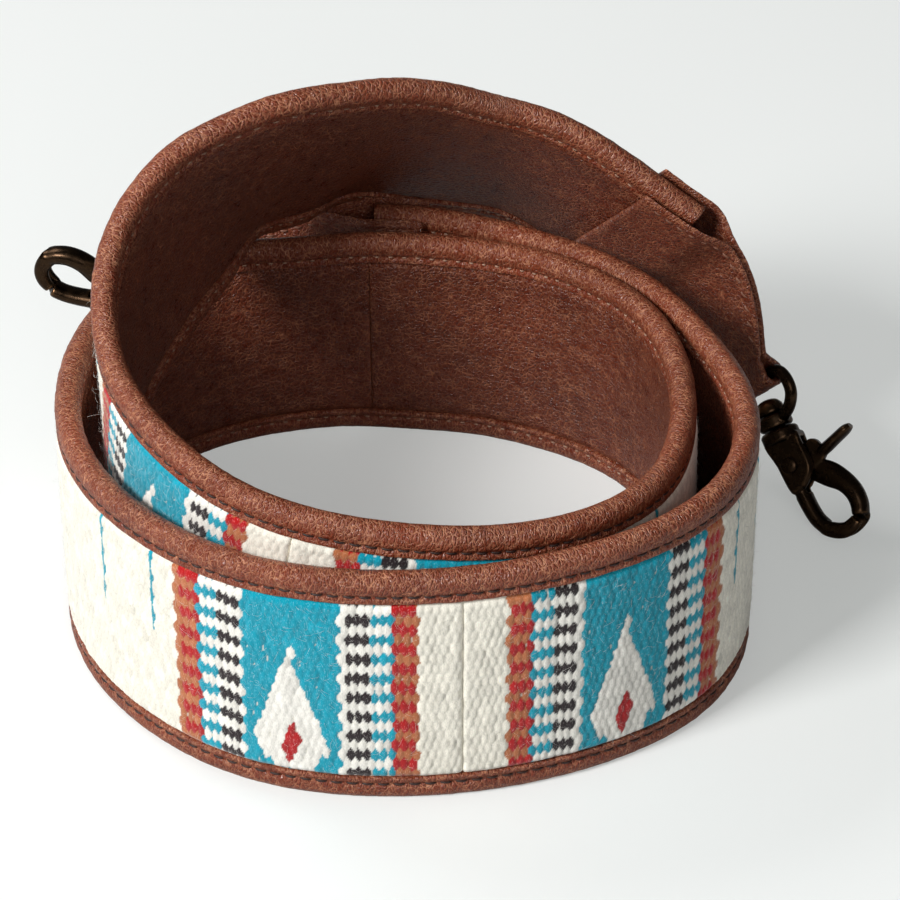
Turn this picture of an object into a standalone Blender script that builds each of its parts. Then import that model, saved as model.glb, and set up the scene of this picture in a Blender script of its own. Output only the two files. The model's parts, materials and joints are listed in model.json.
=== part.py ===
"""A detachable bag strap, coiled a little over twice and standing on its long edge.

A woven wool face and a leather lining lie back to back between two folded leather bindings. At each end a
leather tab folds round the eye of a swivelling trigger hook. Lengths are in metres and Z is up.
"""

import math

import bpy
import numpy as np
from mathutils import Matrix

# Strap
STRAP_WIDTH = 0.050
STRAP_THICKNESS = 0.0047
BINDING_LEATHER = 0.0011
BINDING_DEPTH = 0.0054
BINDING_EDGE = 0.0019
FLANGE_THICKNESS = 0.0008
WOOL_BULGE = 0.0002
LINING_DROP = 0.0003
GAP = 0.0003
FLOOR_CUT = 0.0005

# Coil
COIL_RADIUS = 0.050
TURN_GAP = 0.0005
TIP_TO_STRAP = 0.0335
STATION_STEP = 0.0098
SEAM_CLEAR_SHARE = 0.3

# Tabs
TAB_LEATHER = 0.0012
TAB_OVERLAP = 0.0105
TAB_TIP_WIDTH = 0.0112
TAB_SIDE_INSET = 0.0006
TAB_NECK = 0.0035
TAB_CLOSE = 0.009
TAB_EDGE_ROUND = 0.0004

# Swivel eye
EYE_WIRE = 0.0024
EYE_HALF_WIDTH = 0.0083
EYE_DEPTH = 0.0087
BOSS_RADIUS = 0.0034
BOSS_HEIGHT = 0.0027
BORE_RADIUS = 0.00177

# Swivel stud
STUD_RADIUS = 0.0017
STUD_HEAD_RADIUS = 0.0029
STUD_HEAD_HEIGHT = 0.0029
STUD_DEPTH = 0.0022

# Hook body
COLLAR_RADIUS = 0.0038
COLLAR_HEIGHT = 0.0026
BODY_HALF_THICKNESS = 0.0027
HOOK_LENGTH = 0.0340
SLOT_HALF_WIDTH = 0.0013
PIN_RADIUS = 0.0010
PIN_HEAD_RADIUS = 0.0016
PIN_HEAD_HEIGHT = 0.0005
PIN_CLEARANCE = 0.00007
LEVER_HALF_THICKNESS = 0.0010
THUMB_LENGTH = 0.0085

# Lever spring
SPRING_RADIUS = 0.0007
SPRING_WIRE = 0.0004
SPRING_TURNS = 3
SPRING_PLACE_SHARE = -0.085
SLOT_FLOOR_SHARE = -0.060
SLOT_END_SHARE = 0.70
SPRING_TOP_SHARE = 0.038

# The route of the strap's middle line, from one tab's tip to the other's, seen from above and counted
# anticlockwise: angle in degrees, radius as a share of the coil radius, layers of strap that it lies
# outside, height of the middle as a share of half the width, and the top's lean inwards in degrees.
ROUTE_SHARES = (
    (29, 1.33, 2, 0.91, 3), (38, 1.233, 2, 1.365, 12.5), (48, 1.127, 2, 1.789, 22.9), (58, 1.048, 2, 2.157, 29.6),
    (70, 1.024, 1.5, 2.428, 34.2), (80, 0.993, 1.1, 2.56, 36), (92, 0.938, 0.7, 2.782, 40.9),
    (105, 0.895, 0.3, 2.903, 38.5), (120, 0.863, 0.1, 2.924, 30.9), (132, 0.872, 0, 2.88, 23.6),
    (141, 0.889, 0, 2.801, 18), (150, 0.924, 0, 2.692, 12.5), (158, 0.957, 0, 2.566, 8.5), (165, 0.986, 0, 2.436, 5.8),
    (173, 1.016, 0, 2.272, 3.5), (181, 1.04, 0, 2.10, 2),
    (195, 1.064, 0, 1.824, 0), (210, 1.068, 0, 1.624, 0), (225, 1.056, 0, 1.476, 0), (240, 1.04, 0, 1.368, 0),
    (255, 1.016, 0, 1.284, 0), (270, 0.998, 0, 1.208, 0), (285, 1.0, 0, 1.136, 0), (300, 1.02, 0, 1.08, 0),
    (315, 1.04, 0, 1.032, 0), (330, 1.044, 0, 1.004, 0), (345, 1.028, 0, 1.0, 1), (360, 1.02, 0, 1.0, 2),
    (375, 1.036, 0, 1.0, 4), (390, 1.05, 0, 1.0, 5), (405, 1.04, 0, 1.0, 6), (420, 1.018, 0, 1.0, 6),
    (435, 1.0, 0, 1.0, 7), (450, 1.004, 0, 1.0, 7), (465, 1.03, 0.15, 1.0, 8), (475, 1.03, 0.5, 1.0, 8),
    (485, 1.06, 0.8, 1.0, 6), (495, 1.092, 1, 1.0, 4), (510, 1.122, 1, 1.0, 1), (525, 1.124, 1, 1.0, 0),
    (540, 1.12, 1, 1.0, 0), (555, 1.118, 1, 1.0, 0), (570, 1.102, 1, 1.0, 0), (585, 1.082, 1, 1.0, 0),
    (600, 1.064, 1, 1.0, 0), (615, 1.036, 1, 1.0, 0), (630, 1.016, 1, 1.0, 0), (645, 1.02, 1, 1.0, 0),
    (660, 1.05, 1, 1.0, 0), (675, 1.104, 1, 1.0, 0), (690, 1.154, 1, 1.0, 0), (705, 1.152, 1, 1.0, 0),
    (720, 1.112, 1, 1.0, 1), (735, 1.072, 1, 1.0, 4), (750, 1.054, 1, 1.0, 5), (765, 1.044, 1, 1.0, 6),
    (780, 1.026, 1, 1.0, 6), (795, 1.034, 1, 1.0, 5), (810, 1.074, 1, 1.0, 5), (822, 1.112, 1, 1.0, 4.5),
    (832, 1.172, 1, 1.0, 2), (845, 1.286, 1, 1.0, 0),
)

# Where the wool panels meet, and the lining's two pieces, as shares of the length from tip to tip.
WOOL_SEAM_SHARES = (0.2795, 0.5088, 0.7383)
LINING_SEAM_SHARE = 0.5109

# Which way each hook points from its tab, and which way its loop is turned: X, Y and Z shares.
FIRST_HOOK_SHARES = ((0.400, -0.668, -0.626), (0.83, -0.03, 0.557))
LAST_HOOK_SHARES = ((-0.974, 0.225, 0.0), (0.0, 0.0, 1.0))

# Middle line of the eye as shares of its depth and half width.
EYE_SHARES = (
    (0, 0), (0, 0.35), (0, 0.70), (0.10, 0.90), (0.33, 1.0), (0.60, 0.96), (0.83, 0.73), (0.97, 0.38),
    (1, 0), (0.97, -0.38), (0.83, -0.73), (0.60, -0.96), (0.33, -1.0), (0.10, -0.90), (0, -0.70), (0, -0.35),
)
# The stud's domed head: shares of its height from the top, and of its radius.
STUD_HEAD_SHARES = ((0, 0.18), (0.05, 0.45), (0.22, 0.75), (0.48, 0.93), (0.80, 1.0), (1.0, 0.97))
# Columns of points across the tab's two faces, so that its twist stays even: shares of its half width.
TAB_COLUMN_SHARES = (-0.5, 0.0, 0.5)
# Where the tab swells to go round the eye's bar: distance in bend radii, and share of the way out to the bend.
TAB_SWELL_SHARES = ((2.1, 0.07), (1.5, 0.25), (0.93, 0.56))

# The hook is drawn in shares of its length, on which its collar starts and its pin lies at these places.
COLLAR_START_SHARE = 0.3044
PIN_SHARE = 0.5206
# Outline of the hook's solid block as shares of the hook's length: along the stud, and across.
BLOCK_SHARES = (
    (0.345, -0.090), (0.345, 0.098), (0.42, 0.116), (0.53, 0.126), (0.60, 0.110), (0.655, 0.055),
    (0.675, 0.020), (0.675, -0.055), (0.50, -0.075),
)
# The loop's two arms, as the same shares: along, across, half width, half thickness and sideways offset.
# Their ends lap side by side, each at half the thickness.
FIXED_ARM_SHARES = (
    (0.48, -0.020, 0.052, 0.062, 0), (0.58, -0.016, 0.052, 0.064, 0), (0.68, -0.010, 0.050, 0.064, 0),
    (0.78, -0.004, 0.048, 0.063, 0), (0.86, 0.010, 0.047, 0.062, 0), (0.915, 0.036, 0.046, 0.061, 0),
    (0.926, 0.045, 0.045, 0.028, 0.033), (0.962, 0.090, 0.045, 0.028, 0.033), (0.980, 0.140, 0.044, 0.028, 0.033),
    (0.970, 0.190, 0.042, 0.028, 0.032), (0.950, 0.228, 0.036, 0.024, 0.030),
)
GATE_ARM_SHARES = (
    (0.03, 0.030, 0.042, 0.027, 0), (0.08, 0.115, 0.066, 0.027, 0), (0.135, 0.180, 0.074, 0.045, 0),
    (0.205, 0.238, 0.062, 0.060, 0), (0.280, 0.268, 0.056, 0.062, 0), (0.350, 0.270, 0.053, 0.062, 0),
    (0.405, 0.254, 0.050, 0.061, 0), (0.418, 0.245, 0.049, 0.028, -0.033), (0.447, 0.198, 0.045, 0.028, -0.033),
    (0.456, 0.145, 0.044, 0.028, -0.033), (0.440, 0.092, 0.042, 0.028, -0.032), (0.410, 0.052, 0.036, 0.024, -0.030),
)
# The lever's plate round its pin, as shares of the hook's length measured from the pin.
LEVER_PLATE_SHARES = (
    (-0.110, 0.042), (-0.056, 0.038), (-0.050, -0.010), (-0.036, -0.036), (0.0, -0.051), (0.036, -0.036),
    (0.052, 0.0), (0.078, 0.060), (0.060, 0.130), (0.030, 0.200), (-0.055, 0.195), (-0.086, 0.174),
    (-0.096, 0.147), (-0.086, 0.120), (-0.080, 0.098), (-0.096, 0.074),
)
# The thumb piece: reach along and across as shares of its length, then half width and half thickness.
THUMB_SHARES = (
    (0.02, 0.60, 0.14, 0.11, 0), (-0.04, 0.85, 0.14, 0.19, 0), (-0.14, 1.15, 0.13, 0.24, 0),
    (-0.24, 1.45, 0.12, 0.24, 0), (-0.28, 1.60, 0.07, 0.16, 0),
)

LEATHER_RGB = (0.16, 0.035, 0.018)
TAB_RGB = (0.14, 0.032, 0.018)
WOOL_RGB = (0.80, 0.74, 0.62)
BRONZE_RGB = (0.075, 0.055, 0.038)
STEEL_RGB = (0.20, 0.19, 0.18)

SEAT_ANGLE = 630
RING_SIDES = 20
WIRE_SIDES = 8


def clear_scene():
    for obj in list(bpy.data.objects):
        bpy.data.objects.remove(obj, do_unlink=True)


def material(name, rgb, roughness, metallic):
    """A plain surface of one colour."""
    made = bpy.data.materials.new(name)
    made.use_nodes = True
    shader = made.node_tree.nodes["Principled BSDF"]
    shader.inputs["Base Color"].default_value = (*rgb, 1.0)
    shader.inputs["Roughness"].default_value = roughness
    shader.inputs["Metallic"].default_value = metallic
    made.diffuse_color = (*rgb, 1.0)
    return made


def leather(name, rgb=LEATHER_RGB):
    return material(name, rgb, 0.55, 0.0)


def wool(name):
    return material(name, WOOL_RGB, 0.95, 0.0)


def bronze(name):
    return material(name, BRONZE_RGB, 0.38, 1.0)


def steel(name):
    return material(name, STEEL_RGB, 0.35, 1.0)


def mesh_object(name, points, faces, surface, smooth=True):
    """An object of these points and faces, turned inside out where its volume comes out negative."""
    mesh = bpy.data.meshes.new(name)
    mesh.from_pydata(np.asarray(points).tolist(), [], faces)
    mesh.update()
    mesh.calc_loop_triangles()
    corners = np.array([mesh.vertices[v].co for t in mesh.loop_triangles for v in t.vertices]).reshape(-1, 3, 3)
    if np.linalg.det(corners).sum() < 0:
        mesh.flip_normals()
    for face in mesh.polygons:
        face.use_smooth = smooth
    obj = bpy.data.objects.new(name, mesh)
    obj.data.materials.append(surface)
    bpy.context.scene.collection.objects.link(obj)
    return obj


def ring_faces(rings, sides, closed=False):
    """Quads between neighbouring rings of points, and two end caps where the sweep is open."""
    faces = []
    for ring in range(rings if closed else rings - 1):
        here = ring * sides
        after = (ring + 1) % rings * sides
        for side in range(sides):
            beside = (side + 1) % sides
            faces.append((here + side, here + beside, after + beside, after + side))
    if not closed:
        faces.append(tuple(range(sides))[::-1])
        faces.append(tuple(range((rings - 1) * sides, rings * sides)))
    return faces


def unit(vectors):
    return vectors / np.linalg.norm(vectors, axis=-1, keepdims=True)


def spline_at(stations, values, at):
    """A natural cubic spline through the stations."""
    step = np.diff(stations)
    count = len(stations)
    matrix = np.eye(count)
    right = np.zeros(count)
    for row in range(1, count - 1):
        matrix[row, row - 1 : row + 2] = step[row - 1], 2 * (step[row - 1] + step[row]), step[row]
        rise = np.diff(values[row - 1 : row + 2]) / step[row - 1 : row + 1]
        right[row] = 6 * (rise[1] - rise[0])
    bend = np.linalg.solve(matrix, right)
    part = np.clip(np.searchsorted(stations, at) - 1, 0, count - 2)
    before = stations[part + 1] - at
    past = at - stations[part]
    width = step[part]
    cubic = (bend[part] * before**3 + bend[part + 1] * past**3) / (6 * width)
    left = (values[part] / width - bend[part] * width / 6) * before
    return cubic + left + (values[part + 1] / width - bend[part + 1] * width / 6) * past


class Route:
    """The strap's middle line: place, direction, width direction and outward direction at any arc length."""

    def __init__(self, samples=4000):
        table = np.array(ROUTE_SHARES)
        angle = np.linspace(table[0, 0], table[-1, 0], samples)
        radius = COIL_RADIUS * table[:, 1] + (STRAP_THICKNESS + TURN_GAP) * table[:, 2]
        radius = spline_at(table[:, 0], radius, angle)
        height = spline_at(table[:, 0], STRAP_WIDTH / 2 * table[:, 3], angle)
        lean = np.radians(spline_at(table[:, 0], table[:, 4], angle))[:, None]
        turned = np.radians(angle)
        self.angle = angle
        self.place = np.stack([radius * np.cos(turned), radius * np.sin(turned), height], axis=1)
        self.along = unit(np.gradient(self.place, axis=0))
        level = unit(np.stack([self.along[:, 1], -self.along[:, 0], np.zeros(samples)], axis=1))
        upright = np.cross(level, self.along)
        self.across = unit(upright * np.cos(lean) - level * np.sin(lean))
        self.outward = unit(level * np.cos(lean) + upright * np.sin(lean))
        steps = np.linalg.norm(np.diff(self.place, axis=0), axis=1)
        self.arc = np.concatenate([[0], np.cumsum(steps)])
        self.length = self.arc[-1]

    def rows(self, values, arc):
        return np.stack([np.interp(arc, self.arc, values[:, k]) for k in range(3)], axis=-1)

    def frame(self, arc):
        """Place, direction, width direction and outward direction. Past an end the line goes on straight."""
        arc = np.asarray(arc)
        along = unit(self.rows(self.along, arc))
        beyond = arc - np.clip(arc, 0, self.length)
        place = self.rows(self.place, arc) + along * beyond[..., None]
        return place, along, unit(self.rows(self.across, arc)), unit(self.rows(self.outward, arc))


def swept(name, route, arcs, section, surface):
    """A closed body whose section, rows of (across, outward), is carried along the route."""
    place, _, across, outward = route.frame(arcs)
    section = np.asarray(section)
    points = place[:, None] + section[None, :, :1] * across[:, None] + section[None, :, 1:] * outward[:, None]
    points = points.reshape(-1, 3)
    points[:, 2] = np.maximum(points[:, 2], FLOOR_CUT)
    return mesh_object(name, points, ring_faces(len(arcs), len(section)), surface)


def binding_section(top):
    """One leather strip folded over a long edge: two legs and a half-round outside."""
    half = STRAP_WIDTH / 2
    round_radius = STRAP_THICKNESS / 2
    legs = half - BINDING_DEPTH
    inside = round_radius - BINDING_LEATHER
    turn = np.radians(np.linspace(90, -90, 7))
    rim = [(half - round_radius + round_radius * math.cos(t), round_radius * math.sin(t)) for t in turn]
    slot = [(legs, -round_radius), (legs, -inside), (half - BINDING_EDGE, -inside)]
    slot += [(half - BINDING_EDGE, inside), (legs, inside), (legs, round_radius)]
    side = 1 if top else -1
    return [(side * u, n) for u, n in rim + slot]


def face_section(outside, high):
    """A facing between the bindings: a thin flange inside each binding's slot, and a thicker middle."""
    tongue = STRAP_WIDTH / 2 - BINDING_EDGE - GAP
    shoulder = STRAP_WIDTH / 2 - BINDING_DEPTH - GAP
    back = GAP / 2
    flange = back + FLANGE_THICKNESS
    rise = high - flange
    half = [(shoulder, flange), (shoulder, flange + rise * 0.70), (shoulder * 0.95, flange + rise * 0.92)]
    half += [(shoulder * 0.50, high)]
    edge = [(tongue, back), (tongue, flange)]
    upper = edge + half
    lower = [(-u, n) for u, n in reversed(upper)]
    return [(u, n * outside) for u, n in upper + lower]


def strap_stations(route):
    """Even stations along the strap, with one on each seam, and one at the middle and one at the end of each tab's
    overlap, in place of those close beside them."""
    start = TIP_TO_STRAP
    end = route.length - TIP_TO_STRAP
    even = np.linspace(start, end, round((end - start) / STATION_STEP) + 1)
    seams = route.length * np.unique([*WOOL_SEAM_SHARES, LINING_SEAM_SHARE])
    lap = TAB_OVERLAP * np.array([0.5, 1.0])
    marks = np.concatenate([seams, start + lap, end - lap])
    beside = np.abs(even[:, None] - marks).min(axis=1) < STATION_STEP * SEAM_CLEAR_SHARE
    return np.sort(np.concatenate([even[~beside], marks]))


def pieces_between(stations, seams):
    """Splits the stations at the seams, leaving half a gap on each side of a seam."""
    ends = [stations[0] - GAP / 2, *seams, stations[-1] + GAP / 2]
    found = []
    for first, last in zip(ends, ends[1:]):
        low = first + GAP / 2
        high = last - GAP / 2
        inner = stations[(stations > low + GAP) & (stations < high - GAP)]
        found.append(np.concatenate([[low], inner, [high]]))
    return found


def build_strap(route):
    stations = strap_stations(route)
    made = []
    made.append(swept("edge_binding_top", route, stations, binding_section(True), leather("binding_leather")))
    made.append(swept("edge_binding_bottom", route, stations, binding_section(False), leather("lower_binding_leather")))
    wool_face = face_section(1, STRAP_THICKNESS / 2 + WOOL_BULGE)
    for number, arcs in enumerate(pieces_between(stations, route.length * np.array(WOOL_SEAM_SHARES)), 1):
        made.append(swept(f"wool_panel_{number}", route, arcs, wool_face, wool(f"wool_{number}")))
    lining_face = face_section(-1, STRAP_THICKNESS / 2 - LINING_DROP)
    for number, arcs in enumerate(pieces_between(stations, [route.length * LINING_SEAM_SHARE]), 1):
        made.append(swept(f"lining_{number}", route, arcs, lining_face, leather(f"lining_leather_{number}")))
    return made


def tab_half_width(arc):
    """Narrow where it folds round the eye, then widening in a curve to the strap's width."""
    tip = TAB_TIP_WIDTH / 2
    full = STRAP_WIDTH / 2 - TAB_SIDE_INSET
    share = np.clip((arc - TAB_NECK) / (TIP_TO_STRAP - TAB_NECK), 0, 1)
    return tip + (full - tip) * np.sin(np.pi / 2 * share)


def tab_path():
    """The folded strip's middle line from the inner cut edge round the eye's bar to the outer cut edge."""
    wide = STRAP_THICKNESS / 2 + WOOL_BULGE + GAP + TAB_LEATHER / 2
    near = GAP / 2 + TAB_LEATHER / 2
    bend = EYE_WIRE / 2 + GAP + TAB_LEATHER / 2
    cut = TIP_TO_STRAP + TAB_OVERLAP
    held = TIP_TO_STRAP - TAB_LEATHER
    shut = held - TAB_CLOSE
    arcs = [cut, cut - TAB_OVERLAP / 2, TIP_TO_STRAP, held]
    offsets = [wide] * 4
    for share in (0.25, 0.5, 0.75, 1.0):
        arcs.append(held + (shut - held) * share)
        offsets.append(wide + (near - wide) * (1 - math.cos(math.pi * share)) / 2)
    flat_end = bend * 2.8
    for arc in np.linspace(shut, flat_end, 7)[1:]:
        arcs.append(arc)
        offsets.append(near)
    for back, out in TAB_SWELL_SHARES:
        arcs.append(bend * back)
        offsets.append(near + (bend - near) * out)
    for turn in np.radians(np.linspace(62, 180, 7)):
        arcs.append(bend * math.cos(turn))
        offsets.append(bend * math.sin(turn))
    arcs = arcs + arcs[-2::-1]
    offsets = [-n for n in offsets] + offsets[-2::-1]
    return np.array(arcs), np.array(offsets)


def build_tab(name, route, at_end, surface):
    arcs, offsets = tab_path()
    width = tab_half_width(arcs)
    place, _, across, outward = route.frame(route.length - arcs if at_end else arcs)
    middle = place + outward * offsets[:, None]
    along = unit(np.gradient(middle, axis=0))
    normal = unit(np.cross(across, along))
    half = TAB_LEATHER / 2
    soft = TAB_EDGE_ROUND
    corner = [(1, -soft, half), (1, 0, half - soft), (1, 0, soft - half), (1, -soft, -half)]
    corner += [(share, 0, -half) for share in reversed(TAB_COLUMN_SHARES)]
    corner += [(-1, soft, -half), (-1, 0, soft - half), (-1, 0, half - soft), (-1, soft, half)]
    corner += [(share, 0, half) for share in TAB_COLUMN_SHARES]
    points = [
        middle + across * (side * width + inset)[:, None] + normal * depth for side, inset, depth in corner
    ]
    points = np.stack(points, axis=1).reshape(-1, 3)
    points[:, 2] = np.maximum(points[:, 2], FLOOR_CUT)
    return mesh_object(name, points, ring_faces(len(arcs), len(corner)), surface)


def sweep_in_plane(name, rows, surface, sides=WIRE_SIDES, closed=False):
    """An oval bar along rows of (along, across, half width, half thickness, offset from the plane)."""
    rows = np.asarray(rows, dtype=float)
    line = rows[:, :2]
    if closed:
        ahead = unit(np.roll(line, -1, axis=0) - np.roll(line, 1, axis=0))
    else:
        ahead = unit(np.gradient(line, axis=0))
    beside = np.stack([-ahead[:, 1], ahead[:, 0]], axis=1)
    turn = np.arange(sides) * 2 * np.pi / sides
    flat = line[:, None] + beside[:, None] * (rows[:, 2, None] * np.cos(turn))[..., None]
    thick = rows[:, 4, None] + rows[:, 3, None] * np.sin(turn)
    points = np.concatenate([flat, thick[..., None]], axis=2).reshape(-1, 3)
    return mesh_object(name, points, ring_faces(len(rows), sides, closed), surface)


def smooth_rows(rows, parts, closed=False):
    """More rows between the given ones, along a curve that passes through each."""
    rows = np.asarray(rows, dtype=float)
    count = len(rows)
    found = []
    for row in range(count if closed else count - 1):
        if closed:
            a, b, c, d = (rows[(row + k) % count] for k in (-1, 0, 1, 2))
        else:
            a, b, c, d = (rows[min(max(row + k, 0), count - 1)] for k in (-1, 0, 1, 2))
        for t in np.arange(parts) / parts:
            curve = 2 * b + (c - a) * t + (2 * a - 5 * b + 4 * c - d) * t**2 + (3 * b - 3 * c + d - a) * t**3
            found.append(curve / 2)
    if not closed:
        found.append(rows[-1])
    return np.array(found)


def turned(name, profile, surface, sides=RING_SIDES):
    """A round body: rows of (along the first axis, radius), from one end of the axis to the other."""
    turn = np.arange(sides) * 2 * np.pi / sides
    rows = [row for row in profile if row[1] > 0]
    points = [
        np.stack([np.full(sides, along), radius * np.cos(turn), radius * np.sin(turn)], axis=1)
        for along, radius in rows
    ]
    return mesh_object(name, np.concatenate(points), ring_faces(len(rows), sides), surface)


def plate(name, outline, half, soft, surface):
    """A flat outline given thickness, with its two faces a little smaller than its waist."""
    outline = np.asarray(outline, dtype=float)
    middle = outline.mean(axis=0)
    rows = []
    for height, inset in ((-half, soft), (soft - half, 0), (half - soft, 0), (half, soft)):
        reach = np.linalg.norm(outline - middle, axis=1, keepdims=True)
        ring = middle + (outline - middle) * (1 - inset / reach)
        rows.append(np.column_stack([ring, np.full(len(ring), height)]))
    return mesh_object(name, np.concatenate(rows), ring_faces(4, len(outline)), surface)


def block(name, low, high, surface):
    """A plain box between two corners."""
    corners = [(x, y, z) for z in (low[2], high[2]) for x, y in ((0, 0), (1, 0), (1, 1), (0, 1))]
    ends = np.array([low[:2], high[:2]])
    points = [(ends[x][0], ends[y][1], z) for x, y, z in corners]
    return mesh_object(name, points, ring_faces(2, 4), surface, smooth=False)


def combine(target, others, operation):
    """Joins the other shapes to the target, or cuts them from it, and clears them away."""
    for other in others:
        modifier = target.modifiers.new(operation.lower(), "BOOLEAN")
        modifier.operation = operation
        modifier.solver = "EXACT"
        modifier.object = other
    bpy.context.view_layer.update()
    shape = bpy.data.meshes.new_from_object(target.evaluated_get(bpy.context.evaluated_depsgraph_get()))
    target.modifiers.clear()
    surface = target.data.materials[0]
    target.data = shape
    target.data.materials.clear()
    target.data.materials.append(surface)
    for face in target.data.polygons:
        face.material_index = 0
    for other in others:
        bpy.data.objects.remove(other, do_unlink=True)


def moved(obj, offset):
    """Shifts the shape within its own axes."""
    obj.data.transform(Matrix.Translation(offset))
    return obj


def build_eye(name, surface):
    radius = EYE_WIRE / 2
    rows = [(EYE_DEPTH * a, EYE_HALF_WIDTH * u, radius, radius, 0) for a, u in EYE_SHARES]
    eye = sweep_in_plane(name, smooth_rows(rows, 2, closed=True), surface, closed=True)
    low = EYE_DEPTH - BOSS_HEIGHT / 2
    high = EYE_DEPTH + BOSS_HEIGHT / 2
    soft = BOSS_HEIGHT * 0.15
    rim = [(low, BOSS_RADIUS - soft), (low + soft, BOSS_RADIUS), (high - soft, BOSS_RADIUS), (high, BOSS_RADIUS - soft)]
    boss = turned("boss", rim, surface)
    bore = turned("bore", [(low - BOSS_HEIGHT, BORE_RADIUS), (high + BOSS_HEIGHT, BORE_RADIUS)], surface)
    combine(eye, [boss], "UNION")
    combine(eye, [bore], "DIFFERENCE")
    return eye


def build_stud(name, surface):
    under = EYE_DEPTH - BOSS_HEIGHT / 2 - GAP
    top = under - STUD_HEAD_HEIGHT
    end = collar_start() + STUD_DEPTH
    profile = [(top + STUD_HEAD_HEIGHT * down, STUD_HEAD_RADIUS * out) for down, out in STUD_HEAD_SHARES]
    profile += [(under, STUD_RADIUS), (end, STUD_RADIUS)]
    return turned(name, profile, surface)


def collar_start():
    """Where the hook's collar starts, past the eye's boss, counted from the eye's bar."""
    return EYE_DEPTH + BOSS_HEIGHT / 2 + GAP


def hook_along(share):
    """The place from the eye's bar of a share of the hook's length."""
    return collar_start() + HOOK_LENGTH * (share - COLLAR_START_SHARE)


def hook_rows(shares):
    """A table of shares in real sizes, with its first column counted from the eye's bar."""
    rows = HOOK_LENGTH * np.array(shares)
    rows[:, 0] += hook_along(0)
    return rows


def build_hook_body(name, surface):
    start = collar_start()
    soft = COLLAR_HEIGHT * 0.18
    rim = [(start, COLLAR_RADIUS - soft), (start + soft, COLLAR_RADIUS)]
    rim += [(start + COLLAR_HEIGHT - soft, COLLAR_RADIUS), (start + COLLAR_HEIGHT, COLLAR_RADIUS - soft)]
    body = turned(name, rim, surface)
    solid = plate("solid", hook_rows(BLOCK_SHARES), BODY_HALF_THICKNESS, BODY_HALF_THICKNESS * 0.25, surface)
    arm = sweep_in_plane("arm", smooth_rows(hook_rows(FIXED_ARM_SHARES), 2), surface)
    combine(body, [solid], "UNION")
    combine(body, [arm], "UNION")
    low = (start + COLLAR_HEIGHT + GAP, HOOK_LENGTH * SLOT_FLOOR_SHARE, -SLOT_HALF_WIDTH)
    high = (hook_along(SLOT_END_SHARE), HOOK_LENGTH, SLOT_HALF_WIDTH)
    slot = block("slot", low, high, surface)
    well = turned("well", [(start - COLLAR_HEIGHT, STUD_RADIUS + GAP), (start + STUD_DEPTH + GAP, STUD_RADIUS + GAP)], surface)
    hole = turned("hole", [(-COLLAR_RADIUS * 2, PIN_RADIUS + GAP), (COLLAR_RADIUS * 2, PIN_RADIUS + GAP)], surface)
    hole.data.transform(Matrix.Rotation(math.pi / 2, 4, "Y"))
    moved(hole, (hook_along(PIN_SHARE), 0, 0))
    combine(body, [slot, well, hole], "DIFFERENCE")
    return body


def build_pin(name, surface):
    reach = BODY_HALF_THICKNESS + GAP
    low = -reach - PIN_HEAD_HEIGHT
    profile = [(low, PIN_HEAD_RADIUS * 0.7), (low + PIN_HEAD_HEIGHT * 0.6, PIN_HEAD_RADIUS), (-reach, PIN_HEAD_RADIUS)]
    profile += [(-reach, PIN_RADIUS), (reach, PIN_RADIUS)]
    profile += [(-along, radius) for along, radius in reversed(profile[:3])]
    pin = turned(name, profile, surface)
    pin.data.transform(Matrix.Rotation(math.pi / 2, 4, "Y"))
    return moved(pin, (hook_along(PIN_SHARE), 0, 0))


def build_lever(name, surface):
    """Modelled with its pin at the origin, so that it turns about its own origin."""
    outline = [(HOOK_LENGTH * a, HOOK_LENGTH * b) for a, b in LEVER_PLATE_SHARES]
    lever = plate(name, outline, LEVER_HALF_THICKNESS, LEVER_HALF_THICKNESS * 0.2, surface)
    arm = sweep_in_plane("gate", smooth_rows(np.array(GATE_ARM_SHARES) * HOOK_LENGTH, 2), surface)
    thumb = sweep_in_plane("thumb", smooth_rows(np.array(THUMB_SHARES) * THUMB_LENGTH, 2), surface)
    combine(lever, [arm], "UNION")
    combine(lever, [thumb], "UNION")
    hole_radius = PIN_RADIUS + PIN_CLEARANCE
    hole = turned("hole", [(-COLLAR_RADIUS, hole_radius), (COLLAR_RADIUS, hole_radius)], surface)
    hole.data.transform(Matrix.Rotation(math.pi / 2, 4, "Y"))
    combine(lever, [hole], "DIFFERENCE")
    return lever


def build_spring(name, surface):
    """A small compression coil between the slot's floor and the lever's heel, behind its pin."""
    radius = SPRING_WIRE / 2
    low = HOOK_LENGTH * SLOT_FLOOR_SHARE + GAP + radius
    high = HOOK_LENGTH * SPRING_TOP_SHARE - GAP - radius
    count = SPRING_TURNS * 10 + 1
    turn = np.linspace(0, 2 * np.pi * SPRING_TURNS, count)
    place = np.stack([SPRING_RADIUS * np.cos(turn), np.linspace(low, high, count), SPRING_RADIUS * np.sin(turn)], axis=1)
    ahead = unit(np.gradient(place, axis=0))
    beside = unit(np.stack([np.cos(turn), np.zeros(count), np.sin(turn)], axis=1))
    upward = np.cross(ahead, beside)
    sides = np.arange(5) * 2 * np.pi / 5
    points = place[:, None] + radius * (
        beside[:, None] * np.cos(sides)[None, :, None] + upward[:, None] * np.sin(sides)[None, :, None]
    )
    spring = mesh_object(name, points.reshape(-1, 3), ring_faces(count, len(sides)), surface)
    return moved(spring, (hook_along(PIN_SHARE + SPRING_PLACE_SHARE), 0, 0))


def placed(obj, origin, first, second, shift=0.0):
    """Stands the shape on its own axes: the first axis points along the stud, the second across."""
    third = np.cross(first, second)
    matrix = np.eye(4)
    matrix[:3, 0] = first
    matrix[:3, 1] = second
    matrix[:3, 2] = third
    matrix[:3, 3] = origin + first * shift
    obj.matrix_world = Matrix(matrix.tolist())
    return obj


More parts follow.
